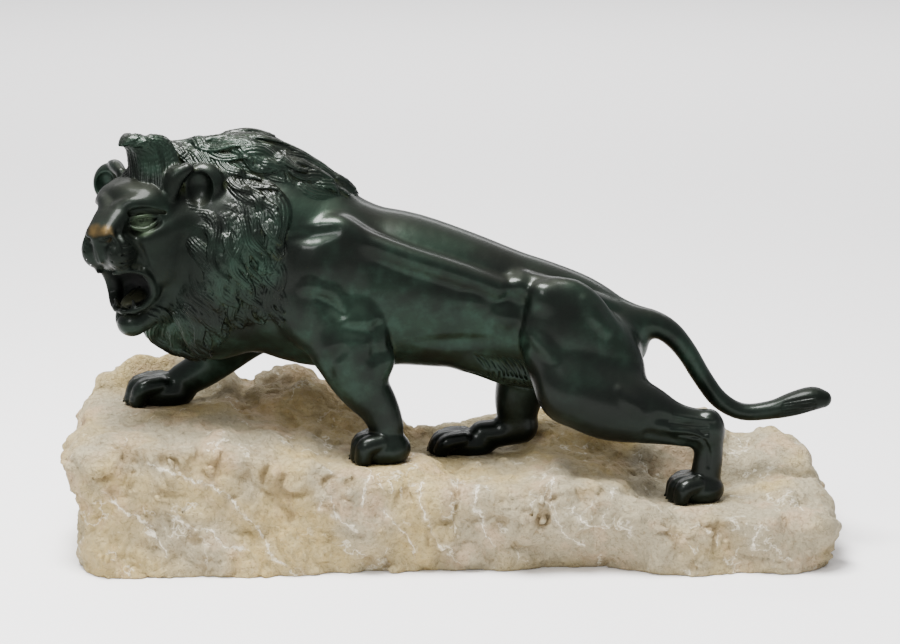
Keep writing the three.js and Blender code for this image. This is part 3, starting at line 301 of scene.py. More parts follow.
# Muscles, and lines near the surface where they part or stand proud
MUSCLES = {
    "shoulder_top": egg([-130, -22, 309], [27, 14, 11], 6, [0, 6, 0]),
    "shoulder_fold": egg([-118, -44, 268], [14, 12, 22], 8, [0, 14, 0]),
    "hip_point": egg([62, -30, 248], [9, 8, 8], 12),
    "hip_knob": egg([84, -35, 239], [11, 12, 14], 12, [0, -30, 0]),
    "rib_end": egg([21, -32, 235], [11, 9, 7], 9, [0, 25, 0]),
    "loin": egg([48, -32, 221], [11, 8, 8], 9, [0, 25, 0]),
    "hock_knob": egg([231, -45, 130], [9, 8, 8], 3),
}
BESIDE_FLANK = -60
MUSCLE_CREASES = flank(
    [-147, 297, -124, 301, -100, 304], [-112, 243, -104, 238, -96, 229], [-90, 215, -72, 213, -60, 218],
    [-60, 217, -63, 203, -67, 189], [-95, 196, -105, 188, -106, 175], [-62, 193, 0, 190, 50, 195],
    [184, 134, 204, 126, 224, 116], [176, 120, 200, 112, 216, 108],
)
MUSCLE_RIDGES = [
    *flank([-128, 251, -122, 253, -116, 251], [-111, 250, -102, 244, -95, 236], [70, 206, 80, 199, 91, 190]),
    [[70, -30, 268], [110, -26, 252], [150, -20, 232]],
    *flank([190, 128, 210, 121, 226, 112], [150, 158, 160, 149, 168, 140], [122, 242, 132, 228, 142, 214]),
]
TENDON_CREASES = flank(
    [196, 130, 212, 128, 229, 127], [203, 114, 217, 116, 229, 121], [226, 112, 230, 100, 230, 88],
)
TENDON_RIDGES = flank([200, 137, 218, 136, 235, 134], [196, 122, 212, 122, 228, 115])
BODY_SCORES = [
    [MUSCLE_CREASES, 9, 1.5, 8, False],
    [MUSCLE_RIDGES, 10, 1.2, 8, True],
    [TENDON_CREASES, 4, 1.8, 2, False],
    [TENDON_RIDGES, 4, 1.4, 2, True],
]
# A line is as wide at its ends as these shares of a half wave
SCORE_ENDS = [0.08, 0.92]
# Strokes of fur: first and last start, the way they run, how many, width and depth
FUR_STROKES = [
    [[16, -12, 174], [68, -14, 164], [12, 0, -22], 13, 3.0, 1.8],
    [[22, -20, 190], [64, -24, 180], [10, 0, -18], 9, 3.0, 1.5],
    [[16, 12, 174], [68, 14, 164], [12, 0, -22], 13, 3.0, 1.8],
    [[300, -8, 136], [300, -6, 122], [30, 0, 4], 5, 2.6, 1.3],
    [[300, 16, 136], [300, 14, 122], [30, 0, 4], 5, 2.6, 1.3],
]
STROKE_WAVE = {"reach": 1.5, "turns": 9}

# The rock. A row of its top has x and the heights of its front, middle and back, one of its ends z and the x
# of the left and right end, and one of its foot x and the y of its front.
ROCK_TOP = [
    [-345, 108, 112, 118], [-325, 116, 121, 140], [-290, 119, 124, 156], [-262, 118, 124, 160],
    [-215, 116, 124, 150], [-184, 112, 118, 133], [-162, 108, 114, 147], [-138, 102, 108, 149],
    [-100, 92, 99, 128], [-62, 84, 90, 104], [-30, 80, 86, 90], [10, 77, 78, 94], [50, 80, 80, 98],
    [90, 84, 84, 107], [130, 78, 78, 104], [170, 64, 66, 104], [212, 50, 55, 107], [236, 50, 54, 108],
    [268, 54, 58, 82], [300, 58, 62, 86], [330, 56, 62, 76], [348, 46, 50, 56],
]
ROCK_ENDS = [
    [0, -334, 343], [55, -331, 345], [75, -337, 341], [100, -346, 330], [130, -338, 320], [165, -326, 310],
]
ROCK_FOOT = [
    [-345, -92], [-299, -108], [-247, -100], [-136, -104], [-84, -85], [0, -87], [134, -78], [204, -103],
    [265, -90], [302, -96], [345, -84],
]
ROCK_FOOT_HEIGHT = 55
ROCK_EDGE_Y = 88
ROCK_TOP_ROUND = 16
ROCK_ROOM = [12, 22]
# Lumps of the sides: their size, their height, how proud they are and a shift, and those of the top alike
SIDE_LUMPS = [[60, 45, 5, 0], [22, 18, 4, 7]]
TOP_LUMPS = [[26, 3, 0], [12, 2, 5]]
# A paw's seat: its size in shares of the paw, and where its level part ends, in shares of the seat
SEAT = {"length": 0.56, "width": 0.58, "from": 2.1, "over": 0.9, "swell": 1.5}
# The pocket cut level under a paw, and where its calm surround starts and the share of grain left there
SEAT_POCKET = 0.6
SEAT_CALM = {"from": 0.9, "rough": 0.08}
# Finer lumps all over the rock, with creases between them: their size and how proud they are
ROCK_GRAIN = [[34, 4.2], [17, 2.8], [9, 1.8], [5, 1.0]]
# About each axis, how much further each size of grain is turned, and the first one's turn
GRAIN_TURNS = [[33, 20], [41, 15], [57, 0]]
GRAIN_SHIFT = 31
GRAIN_MEAN = 0.75
# The grain is bent by wider noise: its size, its reach and a shift
ROCK_WARP = [26, 7, 3]
ROCK_TOP_ROUGH = 0.65

# The clay: its distance away from all forms, the steepest taper of a run, the pieces between two rows of a
# path, and what pseudo-random numbers are made with
FAR = 30
STEEPEST_TAPER = 0.7
ROD_STEPS = 4
LINE_STEPS = 3
LOCK_STEPS = 2
HASH = [127.1, 311.7, 74.7, 43758.5453]

# Colours, linear
# Dark bronze is also laid over the lower face and the feet as painted shade
DARK_BRONZE = (0.0045, 0.0065, 0.0047, 1)
GREEN_BRONZE = (0.01, 0.021, 0.0135, 1)
TEAL_PATINA = (0.012, 0.034, 0.022, 1)
OLIVE_PATINA = (0.034, 0.044, 0.018, 1)
# Painted sheen: the broad brown-grey reflection of the overhead light, laid on surfaces that face up
BROWN_SHEEN_BRONZE = (0.016, 0.017, 0.011, 1)
RUBBED_BRONZE = (0.125, 0.08, 0.028, 1)
EYE_PATINA = (0.03, 0.045, 0.024, 1)
# Painted shade inside the mouth
MOUTH_SHADE = (0.0015, 0.002, 0.0015, 1)
# Painted light on the tongue's top, partly the tongue's own olive tone
TONGUE_OLIVE_AND_LIGHT = (0.035, 0.036, 0.02, 1)
CREAM_STONE = (0.335, 0.26, 0.115, 1)
GREY_STONE = (0.285, 0.245, 0.155, 1)
# Brown of the stone, also used for its painted shade and shadow
BROWN_STONE = (0.17, 0.115, 0.045, 1)
PINK_STONE = (0.42, 0.28, 0.16, 1)
OCHRE_STONE = (0.38, 0.27, 0.095, 1)
PALE_STONE = (0.54, 0.46, 0.29, 1)
WHITE_VEIN = (0.76, 0.7, 0.56, 1)
# Places with a colour or a sheen of their own, and the places of painted shade on the face and in the mouth
# and of painted light on the tongue: the middle, where it starts to fade and where it has gone
FACE_SPOTS = {
    "head": [[15, 10, -15], 60, 90], "face": [[15, 20, -45], 40, 80], "eye": [[14, 25, -5], 8, 13],
    "mouth_shade": [[10, 0, -63], 14, 27], "tongue": [[8, 0, -74], 9, 15], "nose_tip": [[50, -3, -8], 1, 12],
    "nose_side": [[46, 9, -9], 1, 10],
}
TAIL_TUFT = [[325, -10, 140], 30, 60]
# Painted shadow on the rock's back top, under the lion's chest
ROCK_SHADOW_UNDER_LION = [[-110, 90, 150], 60, 150]
# Painted shade on the legs and paws: full below the first height, gone above the second
FOOT_SHADE_HEIGHTS = [120, 200]
# White veins of the stone: x and z of their two ends on the front, and their width
VEINS = [
    [-303, 82, -250, 20, 2.0], [-262, 104, -210, 84, 2.2], [-212, 86, -146, 12, 2.2],
    [-246, 56, -180, 24, 2.4], [-190, 150, -115, 118, 1.4], [-103, 80, -104, 52, 1.8],
    [-105, 54, -82, 40, 2.2], [-72, 104, -76, 64, 1.8], [-58, 62, -30, 16, 2.2], [-28, 96, -22, 52, 2.4],
    [-22, 54, -4, 14, 2.4], [22, 100, 20, 62, 1.8], [20, 66, 36, 18, 2.4], [76, 110, 94, 52, 1.8],
    [92, 56, 120, 16, 2.4], [100, 62, 138, 40, 2.0], [142, 98, 140, 44, 2.4], [156, 52, 154, 30, 2.4],
    [238, 24, 242, 44, 2.4], [270, 46, 266, 22, 2.4], [250, 92, 308, 78, 2.2],
]
VEIN_DEPTH_LEAN = 0.25
VEIN_SPREAD = 4

# The camera stands as the photograph's did, a little above the lion and square to its side
CAMERA_AIM = Vector((0, 0, 0.208))
CAMERA_RISE = 13
CAMERA_DISTANCE = 2.4
CAMERA_LENS = 106.67
FLOOR_SIZE = 12
PAPER = {"Base Color": (0.92, 0.905, 0.9, 1), "Roughness": 0.9}
SKY = {"Color": (0.82, 0.82, 0.85, 1), "Strength": 0.75}
# Each light's place and aim, in metres, its size and its power
LIGHTS = {
    "overhead": [(-0.4, -0.35, 2.2), (0, 0, 0.2), (1.1, 0.8), 175],
    "front_left": [(-1.1, -2.0, 1.9), (0, 0, 0.2), (0.8, 0.8), 26],
    "backdrop": [(0, 3.4, 2.6), (0, 3.9, 0), (5.0, 2.0), 190],
}


def ease(t):
    """Smoothly from 0 to 1 as t goes from 0 to 1."""
    t = np.clip(t, 0, 1)
    return t * t * (3 - 2 * t)


def mix(a, b, t):
    return a + (b - a) * t


def cell_mean(corner, u, v, w):
    """The mean of the eight corners of a cell, weighted by the place within it."""
    rows = [mix(corner(0, b, c), corner(1, b, c), u) for c in (0, 1) for b in (0, 1)]
    return mix(mix(rows[0], rows[1], v), mix(rows[2], rows[3], v), w)


def unit(v):
    return v / (np.linalg.norm(v, axis=-1, keepdims=True) + 1e-9)


def turned(rx, ry, rz):
    """The turn about X, then Y, then Z, in degrees."""
    a, b, c = np.radians([rx, ry, rz])
    x = np.array([[1, 0, 0], [0, math.cos(a), -math.sin(a)], [0, math.sin(a), math.cos(a)]])
    y = np.array([[math.cos(b), 0, math.sin(b)], [0, 1, 0], [-math.sin(b), 0, math.cos(b)]])
    z = np.array([[math.cos(c), -math.sin(c), 0], [math.sin(c), math.cos(c), 0], [0, 0, 1]])
    return z @ y @ x


class Place:
    """A rigid frame that forms are laid out in. A mirrored one swaps the lion's left and right."""

    def __init__(self, at=(0, 0, 0), yaw=0, roll=0, mirror=False):
        self.at = np.array(at, float)
        self.turn = turned(roll, 0, yaw)
        self.side = -1 if mirror else 1

    def point(self, p):
        return self.vector(p) + self.at

    def vector(self, p):
        return self.turn @ (np.array(p, float) * (1, self.side, 1))

    def local(self, p):
        return (p - self.at) @ self.turn


HOME = Place()


def egg_pieces(form, place):
    """The one piece of an egg: its box and its signed distance."""
    t = form["turn"]
    own = place.turn @ turned(place.side * t[0], t[1], place.side * t[2])
    c = place.point(form["at"])
    size = np.array(form["size"], float)

    def distance(x, y, z):
        d = x - c[0], y - c[1], z - c[2]
        u, v, w = [sum(own[k, i] * d[k] for k in range(3)) / size[i] for i in range(3)]
        near = np.sqrt(u * u + v * v + w * w)
        slope = np.sqrt((u / size[0]) ** 2 + (v / size[1]) ** 2 + (w / size[2]) ** 2)
        return near * (near - 1) / np.maximum(slope, 1e-6)

    return [(c - size.max(), c + size.max(), distance)]


def curve_points(points, steps):
    """A smooth curve through rows of x, y, z and radius, in steps pieces between two rows."""
    p = np.array(points, float)
    if len(p) == 2:
        return p
    padded = np.vstack([2 * p[0] - p[1], p, 2 * p[-1] - p[-2]])
    out = []
    for n in range(len(p) - 1):
        a, b, c, d = padded[n:n + 4]
        for t in np.arange(steps) / steps:
            out.append((2 * t**3 - 3 * t**2 + 1) * b + (t**3 - 2 * t**2 + t) * (c - a) / 2
                       + (3 * t**2 - 2 * t**3) * c + (t**3 - t**2) * (d - b) / 2)
    return np.array([*out, p[-1]])


def run(knots, flat=(0, 1, 0), ratio=1.0, strands=0, groove=0.0):
    """The pieces of a tapering run through knots, flattened along flat, with strands cut along it."""
    n = np.array(flat, float)
    pieces = []
    for a, b in zip(knots[:-1], knots[1:]):
        reach = max(a[3], b[3]) * max(1, ratio)
        e = b[:3] - a[:3]
        side = unit(np.cross(n, e))
        long = math.sqrt(e @ e)
        swell = float(np.clip((b[3] - a[3]) / long, -STEEPEST_TAPER, STEEPEST_TAPER))
        swell = swell / math.sqrt(1 - swell**2) / long

        def distance(x, y, z, a=a, b=b, e=e, side=side, swell=swell):
            dx, dy, dz = x - a[0], y - a[1], z - a[2]
            along = dx * e[0] + dy * e[1] + dz * e[2]
            own = dx * dx + dy * dy + dz * dz
            dn = dx * n[0] + dy * n[1] + dz * n[2]
            away = np.sqrt(np.maximum(own - along**2 / (e @ e) + dn**2 * (1 / ratio**2 - 1), 0))
            h = np.clip(along / (e @ e) + swell * away, 0, 1)
            r = a[3] + h * (b[3] - a[3])
            q2 = own - 2 * h * along + h * h * (e @ e)
            if ratio == 1 and not strands:
                return np.sqrt(np.maximum(q2, 0)) - r
            qn = (dn - h * (e @ n)) ** 2
            q2 = np.maximum(q2 - qn, 0)
            length = np.sqrt(q2 + qn / ratio**2)
            d = (length - r) * length / np.maximum(np.sqrt(q2 + qn / ratio**4), 1e-6)
            if strands:
                across = (dx * side[0] + dy * side[1] + dz * side[2]) / r
                d = d + groove * (1 - np.abs(np.cos(np.pi / 2 * (strands * across + 1))))
            return d

        pieces.append((np.minimum(a[:3], b[:3]) - reach, np.maximum(a[:3], b[:3]) + reach, distance))
    return pieces


def rod_pieces(form, place):
    knots = curve_points([[*place.point(q[:3]), q[3]] for q in form["path"]], ROD_STEPS)
    return run(knots, place.vector(form["flat"]), form["ratio"])


class Clay:
    """A block of space with a signed distance at each corner of its cells. It takes forms one by one."""

    def __init__(self, low, high, cell):
        self.low = np.array(low, float)
        self.cell = cell
        self.size = [int(math.ceil((h - l) / cell)) + 1 for l, h in zip(low, high)]
        self.field = np.full(self.size, FAR, np.float32)

    def span(self, low, high, margin):
        """The cells between two corners of space, as the first and the one past the last."""
        first = np.floor((low - margin - self.low) / self.cell)
        last = np.ceil((high + margin - self.low) / self.cell) + 1
        return np.clip(first, 0, self.size).astype(int), np.clip(last, 0, self.size).astype(int)

    def axes(self, first, last, kind=np.float32):
        """The x, y and z of a run of cells, shaped to be used together."""
        axes = []
        for i in range(3):
            row = self.low[i] + self.cell * np.arange(first[i], last[i])
            axes.append(row.astype(kind).reshape([-1 if j == i else 1 for j in range(3)]))
        return axes

    def press(self, pieces, blend, carve=False):
        """Adds the pieces to the clay, or carves them out of it."""
        margin = blend + 2 * self.cell
        low = np.min([piece[0] for piece in pieces], axis=0)
        high = np.max([piece[1] for piece in pieces], axis=0)
        first, last = self.span(low, high, margin)
        if (last <= first).any():
            return
        box = tuple(slice(f, l) for f, l in zip(first, last))
        d = np.full(last - first, 1e3, np.float32)
        for piece_low, piece_high, distance in pieces:
            f, l = self.span(piece_low, piece_high, margin)
            f, l = np.maximum(f, first), np.minimum(l, last)
            if (l > f).all():
                own = tuple(slice(a, b) for a, b in zip(f - first, l - first))
                np.minimum(d[own], distance(*self.axes(f, l)), out=d[own])
        other = -self.field[box] if carve else self.field[box]
        h = np.maximum(blend - np.abs(other - d), 0) / blend
        joined = np.minimum(other, d) - h * h * (blend / 4)
        self.field[box] = -joined if carve else joined

    def work(self, table, places=(HOME,), carve=False):
        """Adds or carves every form of a table, in one frame or in a frame and its mirror image."""
        for form in table.values():
            for place in places:
                pieces = rod_pieces(form, place) if "path" in form else egg_pieces(form, place)
                self.press(pieces, form["blend"], carve)

    def at(self, p):
        """The distance at each of an array of points."""
        g = (np.asarray(p, float) - self.low) / self.cell
        i = np.clip(np.floor(g).astype(int), 0, np.array(self.size) - 2)
        u, v, w = np.clip(g - i, -1, 2).T
        x, y, z = i.T
        return cell_mean(lambda a, b, c: self.field[x + a, y + b, z + c], u, v, w)

    def slope(self, p, reach=4.0):
        """Uphill direction of the distance, which is the surface's normal where the distance is 0."""
        steps = reach * np.eye(3)
        return unit(np.stack([self.at(p + step) - self.at(p - step) for step in steps], 1))

    def settle(self, p):
        """The points moved onto the surface."""
        for _ in range(4):
            p = p - self.slope(p) * self.at(p)[:, None]
        return p

    def score(self, lines, width, depth, blend=1.0, proud=False, place=HOME):
        """Draws lines on the surface, as grooves of a width and depth or as ridges, from points near it."""
        for line in lines:
            p = self.settle(np.array([place.point(q) for q in line]))
            p = p + self.slope(p, 2.0) * (width / 2 - depth) * (-1 if proud else 1)
            size = width / 2 * np.sqrt(np.sin(np.pi * np.linspace(*SCORE_ENDS, len(p))))
            self.press(run(curve_points(np.column_stack([p, size]), LINE_STEPS)), blend, not proud)

    def between(self, start, end):
        """The clay from one x to another, closed at both ends."""
        low, high = np.array([start, *self.low[1:]]), np.array([end, *self.low[1:]])
        first, last = self.span(low, high, 4 * self.cell)
        part = Clay(self.low, self.low, self.cell)
        part.low = self.low + [first[0] * self.cell, 0, 0]
        x = part.low[0] + self.cell * np.arange(last[0] - first[0], dtype=np.float32)
        part.field = np.maximum(self.field[first[0]:last[0]], np.maximum(start - x, x - end)[:, None, None])
        part.size = list(part.field.shape)
        return part

    def mesh(self, name, triangles):
        """The clay's skin as a Blender object in metres, joined down to a number of triangles."""
        edge = 3 * self.cell
        grid = openvdb.FloatGrid(edge)
        grid.copyFromArray(np.clip(self.field, -edge, edge))
        points, tris, quads = grid.convertToPolygons(isovalue=0, adaptivity=0)
        points = (points * self.cell + self.low) * MM
        faces = np.vstack([tris, quads[:, [0, 1, 2]], quads[:, [0, 2, 3]]])
        mesh = bpy.data.meshes.new(name)
        mesh.vertices.add(len(points))
        mesh.vertices.foreach_set("co", points.astype(np.float32).ravel())
        mesh.loops.add(3 * len(faces))
        mesh.loops.foreach_set("vertex_index", faces.astype(np.int32).ravel())
        mesh.polygons.add(len(faces))
        mesh.polygons.foreach_set("loop_start", np.arange(0, 3 * len(faces), 3, dtype=np.int32))
        mesh.update(calc_edges=True)
        piece = bpy.data.objects.new(name, mesh)
        bpy.context.scene.collection.objects.link(piece)
        if len(faces) > triangles:
            joining = piece.modifiers.new("joining", "DECIMATE")
            joining.ratio = triangles / len(faces)
            bpy.context.view_layer.update()
            whole = piece.evaluated_get(bpy.context.evaluated_depsgraph_get())
            smaller = bpy.data.meshes.new_from_object(whole)
            piece.modifiers.clear()
            piece.data = smaller
            bpy.data.meshes.remove(mesh)
            smaller.name = name
        piece.data.shade_smooth()
        return piece


def chance(i, j, k):
    """The same pseudo-random number from 0 to 1 for the same three whole numbers."""
    s = np.sin(i * HASH[0] + j * HASH[1] + k * HASH[2]) * HASH[3]
    return s - np.floor(s)


def lumps(x, y, z):
    """Smooth noise from -1 to 1 with a lump at about every unit of space."""
    i, j, k = np.floor(x), np.floor(y), np.floor(z)
    u, v, w = ease(x - i), ease(y - j), ease(z - k)
    return 2 * cell_mean(lambda a, b, c: chance(i + a, j + b, k + c), u, v, w) - 1


def mane_area(p, head, inside=0.0):
    """Which points hair lies at. Inside moves the mane's rear and lower limits in."""
    e = MANE_EDGE
    h = head.local(p)
    across, out = np.abs(p[:, 1]), np.abs(h[:, 1])
    side = PICTURE_ACROSS[0] * (h[:, 0] - EYE_X) + PICTURE_ACROSS[1] * out
    beside_face = side > mix(*e["cheek"], ease((e["chin_from"] - h[:, 2]) / e["chin_over"]))
    rear = mix(*e["rear"], ease((across - e["rear_from"]) / e["rear_over"])) - inside
    lowest = mix(*e["lowest"], ease((p[:, 0] - e["lowest_from"]) / e["lowest_over"])) + inside
    ear = np.sqrt((h[:, 0] - e["ear"][0]) ** 2 + (out - e["ear"][1]) ** 2 + (h[:, 2] - e["ear"][2]) ** 2)
    front = np.where(h[:, 2] > e["brow_height"], h[:, 0] < e["brow_x"], beside_face)
    return front & (p[:, 0] < rear) & (p[:, 2] > lowest) & (ear > e["ear_reach"])


def hair_direction(p, turn):
    """The hair's direction at points, in the mean of the rows near them, turned by an angle."""
    x, z, fall_x, fall_z = np.array(HAIR_FALL).T
    weight = ((p[:, :1] - x) ** 2 + (p[:, 2:] - z) ** 2 + FALL_REACH) ** -1.5
    weight /= weight.sum(1, keepdims=True)
    dx, dz = weight @ fall_x, weight @ fall_z
    c, s = np.cos(turn), np.sin(turn)
    return unit(np.stack([dx * c - dz * s, 0 * dx, dx * s + dz * c], 1))


def hair_roots(clay, head, lock):
    """Points on the clay, from the top down, each clear of the locks above it."""
    axes = [np.arange(a, b, lock["grid"]) for a, b in zip(ROOTS_FROM, ROOTS_TO)]
    spots = np.stack(np.meshgrid(*axes, indexing="ij"), -1).reshape(-1, 3).astype(float)
    spots = clay.settle(spots[np.abs(clay.at(spots)) < lock["grid"]])
    spots = spots[mane_area(spots, head, lock["inside"])]
    spots = spots[np.argsort(-spots[:, 2] + lock["grid"] * chance(np.arange(len(spots)), 7, lock["steps"]))]
    falls = hair_direction(spots, np.zeros(len(spots)))
    below = lock["after"] * lock["step"] * lock["steps"]
    roots = []
    for spot, fall in zip(spots, falls):
        gap = spot - np.array(roots).reshape(-1, 3)
        along = gap @ fall
        across = np.linalg.norm(gap - along[:, None] * fall, axis=1)
        if not ((np.abs(along) < below) & (across < lock["apart"])).any():
            roots.append(spot)
    return np.array(roots)


def comb(clay, head, lock):
    """Locks that follow the fall of the hair over the surface, until they leave the mane."""
    p = hair_roots(clay, head, lock)
    n = np.arange(len(p))
    steps, sink = lock["steps"], lock["sink"]
    swing = LOCK_SWING["reach"] * np.sin(p[:, 0] / LOCK_SWING["x"] + p[:, 2] / LOCK_SWING["z"])
    swing = swing + LOCK_SWING["stray"] * chance(n, 3, steps)
    big = lock["radius"] * mix(*LOCK_SPREAD, chance(n, 1, steps))
    tip = lock["rise"] + mix(-1, 1, chance(n, 2, steps))
    paths, normals = [], []
    p = p + clay.slope(p) * sink
    for t in np.linspace(0, 1, steps + 1):
        normal = clay.slope(p)
        paths.append(p)
        normals.append(normal)
        fall = hair_direction(p, lock["wave"] * np.sin(2 * np.pi * (lock["turns"] * t + swing)))
        fall = unit(fall - (fall * normal).sum(1, keepdims=True) * normal)
        p = clay.settle(p + fall * lock["step"])
        p = p + clay.slope(p) * mix(sink, tip, t)[:, None]
    paths, normals = np.array(paths), np.array(normals)
    inside = np.array([mane_area(row, head, LOCK_TIP) for row in paths])
    for k in n:
        count = steps + 1 if inside[:, k].all() else max(LOCK_FEWEST, int(np.argmin(inside[:, k])))
        along = mix(LOCK_BULGE["root"], 1, np.linspace(0, 1, count)) ** LOCK_BULGE["power"]
        width = big[k] * mix(LOCK_BULGE["least"], 1, np.sin(np.pi * along))
        knots = curve_points(np.column_stack([paths[:count, k], width]), LOCK_STEPS)
        flat = unit(normals[:count, k].mean(0))
        clay.press(run(knots, flat, lock["flatness"], lock["strands"], lock["groove"]), lock["blend"])


def forelock(clay, head):
    """The tuft that curls forward over the forehead."""
    f = FORELOCK_LOCK
    for n, side in enumerate(FORELOCK_SIDES):
        dx = f["stray"][0] * math.sin(f["stray_turn"][0] * n) - f["behind"] * side * side
        dz = f["stray"][1] * math.cos(f["stray_turn"][1] * n) - f["lower"] * abs(side)
        curl = []
        for i, (x, z, r) in enumerate(FORELOCK_CURL):
            y = side * (1 - f["gather"] * i) + f["lean"] * (1 - i / (len(FORELOCK_CURL) - 1))
            curl.append([*head.point([x + dx, y, z + dz]), r])
        knots = curve_points(curl, LINE_STEPS)
        clay.press(run(knots, head.vector(f["flat"]), f["ratio"], f["strands"], f["groove"]), f["blend"])


def paw(spec):
    """The pad, the toes and the claws of a paw, on its seat."""
    length, width, height = spec["length"], spec["width"], spec["height"]
    place = Place([*spec["at"], spec["seat"]], yaw=spec["heading"])
    size = np.array([length, width, height]) * PAD["size"]
    forms = {"pad": egg([-length * PAD["behind"], 0, height * PAD["rise"]], size, PAD["blend"])}
    radius = width * TOES["radius"]
    for toe in range(TOES["count"]):
        side = 2 * toe / (TOES["count"] - 1) - 1
        y = side * width * TOES["spread"]
        tip = length * (TOES["reach"] - TOES["shorter"] * side * side)
        path = []
        for behind, out, rise, r in TOE_ROWS:
            path.append([tip - length * behind, y * out, height * rise, radius * r])
        forms["toe%d" % toe] = rod([*path, [tip - radius, y, radius * TOE_TIP, radius]], TOES["blend"])
        claw = [[tip + radius * past + out, y, radius * rise, r] for past, out, rise, r in CLAW_ROWS]
        forms["claw%d" % toe] = rod(claw, CLAW_BLEND)
    return forms, place


def sole(clay, spec):
    """Cuts the underside of a paw level, a little above its seat."""
    place = Place(spec["at"] + [spec["seat"]], yaw=spec["heading"])
    reach = SOLE["reach"] * spec["length"]
    low, high = place.at - [reach, reach, FAR], place.at + [reach, reach, SOLE["above"]]
    first, last = clay.span(low, high, 0)
    x, y, z = clay.axes(first, last)
    box = tuple(slice(f, l) for f, l in zip(first, last))
    clay.field[box] = np.maximum(clay.field[box], spec["seat"] + SEAT_GAP - z)


def eye_detail(clay, place):
    """The iris and the pupil, cut into the ball of the eye."""
    out = unit(np.array(GAZE, float))
    middle = np.array(EYES["eye"]["at"]) + np.array(EYES["eye"]["size"]) * out
    across = unit(np.cross([0, 0, 1], out))
    up = np.cross(out, across)
    ring = []
    for angle in np.linspace(0, 2 * math.pi, IRIS["sides"] + 1):
        rim = middle + IRIS["reach"] * (across * math.cos(angle) + up * math.sin(angle))
        ring.append([*place.point(rim), IRIS["line"]])
    clay.press(run(np.array(ring)), IRIS["line"], True)
    pupil = egg(middle + out * PUPIL["out"], [PUPIL["size"]] * 3, PUPIL["blend"])
    clay.work({"pupil": pupil}, [place], True)


def face_detail(clay, head, both):
    for place in both:
        eye_detail(clay, place)
        clay.work(BROW_CREASES, [place], True)
        for lines, *settings in FACE_SCORES:
            clay.score(lines, *settings, place)
        clay.work(NOSTRILS, [place], True)
    clay.work(PHILTRUM, [head], True)
    clay.work(TONGUE, [head])
    clay.work(TONGUE_LINE, [head], True)
    for front, z, height, radius in FRONT_TEETH:
        for y in FRONT_TOOTH["sides"]:
            x = front - FRONT_TOOTH["bow"] * (y / FRONT_TOOTH["sides"][-1]) ** 2
            tooth = [[x, y, z, radius], [x, y, z + height, radius * FRONT_TOOTH["tip"]]]
            clay.work({"tooth": rod(tooth, FRONT_TOOTH["blend"])}, [head])


def fur(clay):
    """Short carved strokes, side by side."""
    for start, end, fall, count, width, depth in FUR_STROKES:
        for t in np.linspace(0, 1, count):
            top = mix(np.array(start, float), np.array(end, float), t)
            wave = STROKE_WAVE["reach"] * math.sin(STROKE_WAVE["turns"] * t)
            middle = top + np.array(fall) * 0.5 + [wave, 0, 0]
            clay.score([[top, middle, top + np.array(fall)]], width, depth)


def lion_clay():
    clay = Clay(*LION_BOX, LION_CELL)
    head = Place(**HEAD)
    both = [head, Place(**HEAD, mirror=True)]
    for table in BODY, FAR_FORELEG, FAR_HIND_LEG, NEAR_FORELEG, NEAR_HIND_LEG, TAIL:
        clay.work(table)
    for spec in PAWS.values():
        forms, place = paw(spec)
        clay.work(forms, [place])
    clay.work(MUSCLES)
    for lines, *settings in BODY_SCORES:
        clay.score(lines, *settings)
    clay.work(MANE)
    for table in FORELOCK, BEARD, SKULL:
        clay.work(table, [head])
    clay.work(CHEEKS, both)
    clay.work(CHIN, [head])
    for lock in LOCKS:
        comb(clay, head, lock)
    clay.work(MOUTH, [head], True)
    clay.work(SOCKETS, both, True)
    for table in EYES, TEETH, LIPS:
        clay.work(table, both)
    forelock(clay, head)
    clay.work(EARS, [head])
    clay.work(EAR_HOLLOWS, [head], True)
    face_detail(clay, head, both)
    fur(clay)
    for spec in PAWS.values():
        sole(clay, spec)
    return clay


def rows_at(rows, x):
    """The rows of a table at places along its first column, smoothly between their neighbours."""
    rows = np.array(rows, float)
    n = np.clip(np.searchsorted(rows[:, 0], x, side="right") - 1, 0, len(rows) - 2)
    t = ease((x - rows[n, 0]) / (rows[n + 1, 0] - rows[n, 0]))
    return [mix(rows[n, i], rows[n + 1, i], t) for i in range(rows.shape[1])]


def seat_reach(spec, x, y, size=(SEAT["length"], SEAT["width"])):
    """How far places are from the middle of a paw's seat, 1 at its edge."""
    c, s = math.cos(math.radians(spec["heading"])), math.sin(math.radians(spec["heading"]))
    dx, dy = x - spec["at"][0], y - spec["at"][1]
    along = (c * dx + s * dy) / (spec["length"] * size[0])
    across = (-s * dx + c * dy) / (spec["width"] * size[1])
    return np.hypot(along, across)


def rock_top(x, y):
    _, front, middle, back = rows_at(ROCK_TOP, x)
    across = np.clip(y / ROCK_EDGE_Y, -1, 1)
    height = mix(middle, np.where(across < 0, front, back), ease(np.abs(across)))
    for size, proud, shift in TOP_LUMPS:
        height = height + proud * lumps(x / size, y / size, np.float64(shift))
    for spec in PAWS.values():
        level = ease((SEAT["from"] - seat_reach(spec, x, y)) / SEAT["over"])
        height = mix(height, spec["seat"] + SEAT["swell"], level)
    return height


def rock_grain(x, y, z):
    """Lumps of several sizes, each size turned its own way, with creases where the noise is 0."""
    rough = 0
    size, reach, shift = ROCK_WARP
    warp = reach * lumps(x / size + shift, y / size, z / size)
    x, y, z = x + warp, y - warp, z + warp
    for number, (size, proud) in enumerate(ROCK_GRAIN):
        turn = turned(*[step * number + first for step, first in GRAIN_TURNS])
        u, v, w = [(t[0] * x + t[1] * y + t[2] * z) / size + GRAIN_SHIFT * i for i, t in enumerate(turn)]
        rough = rough + proud * (GRAIN_MEAN - 2 * np.abs(lumps(u, v, w)))
    return rough


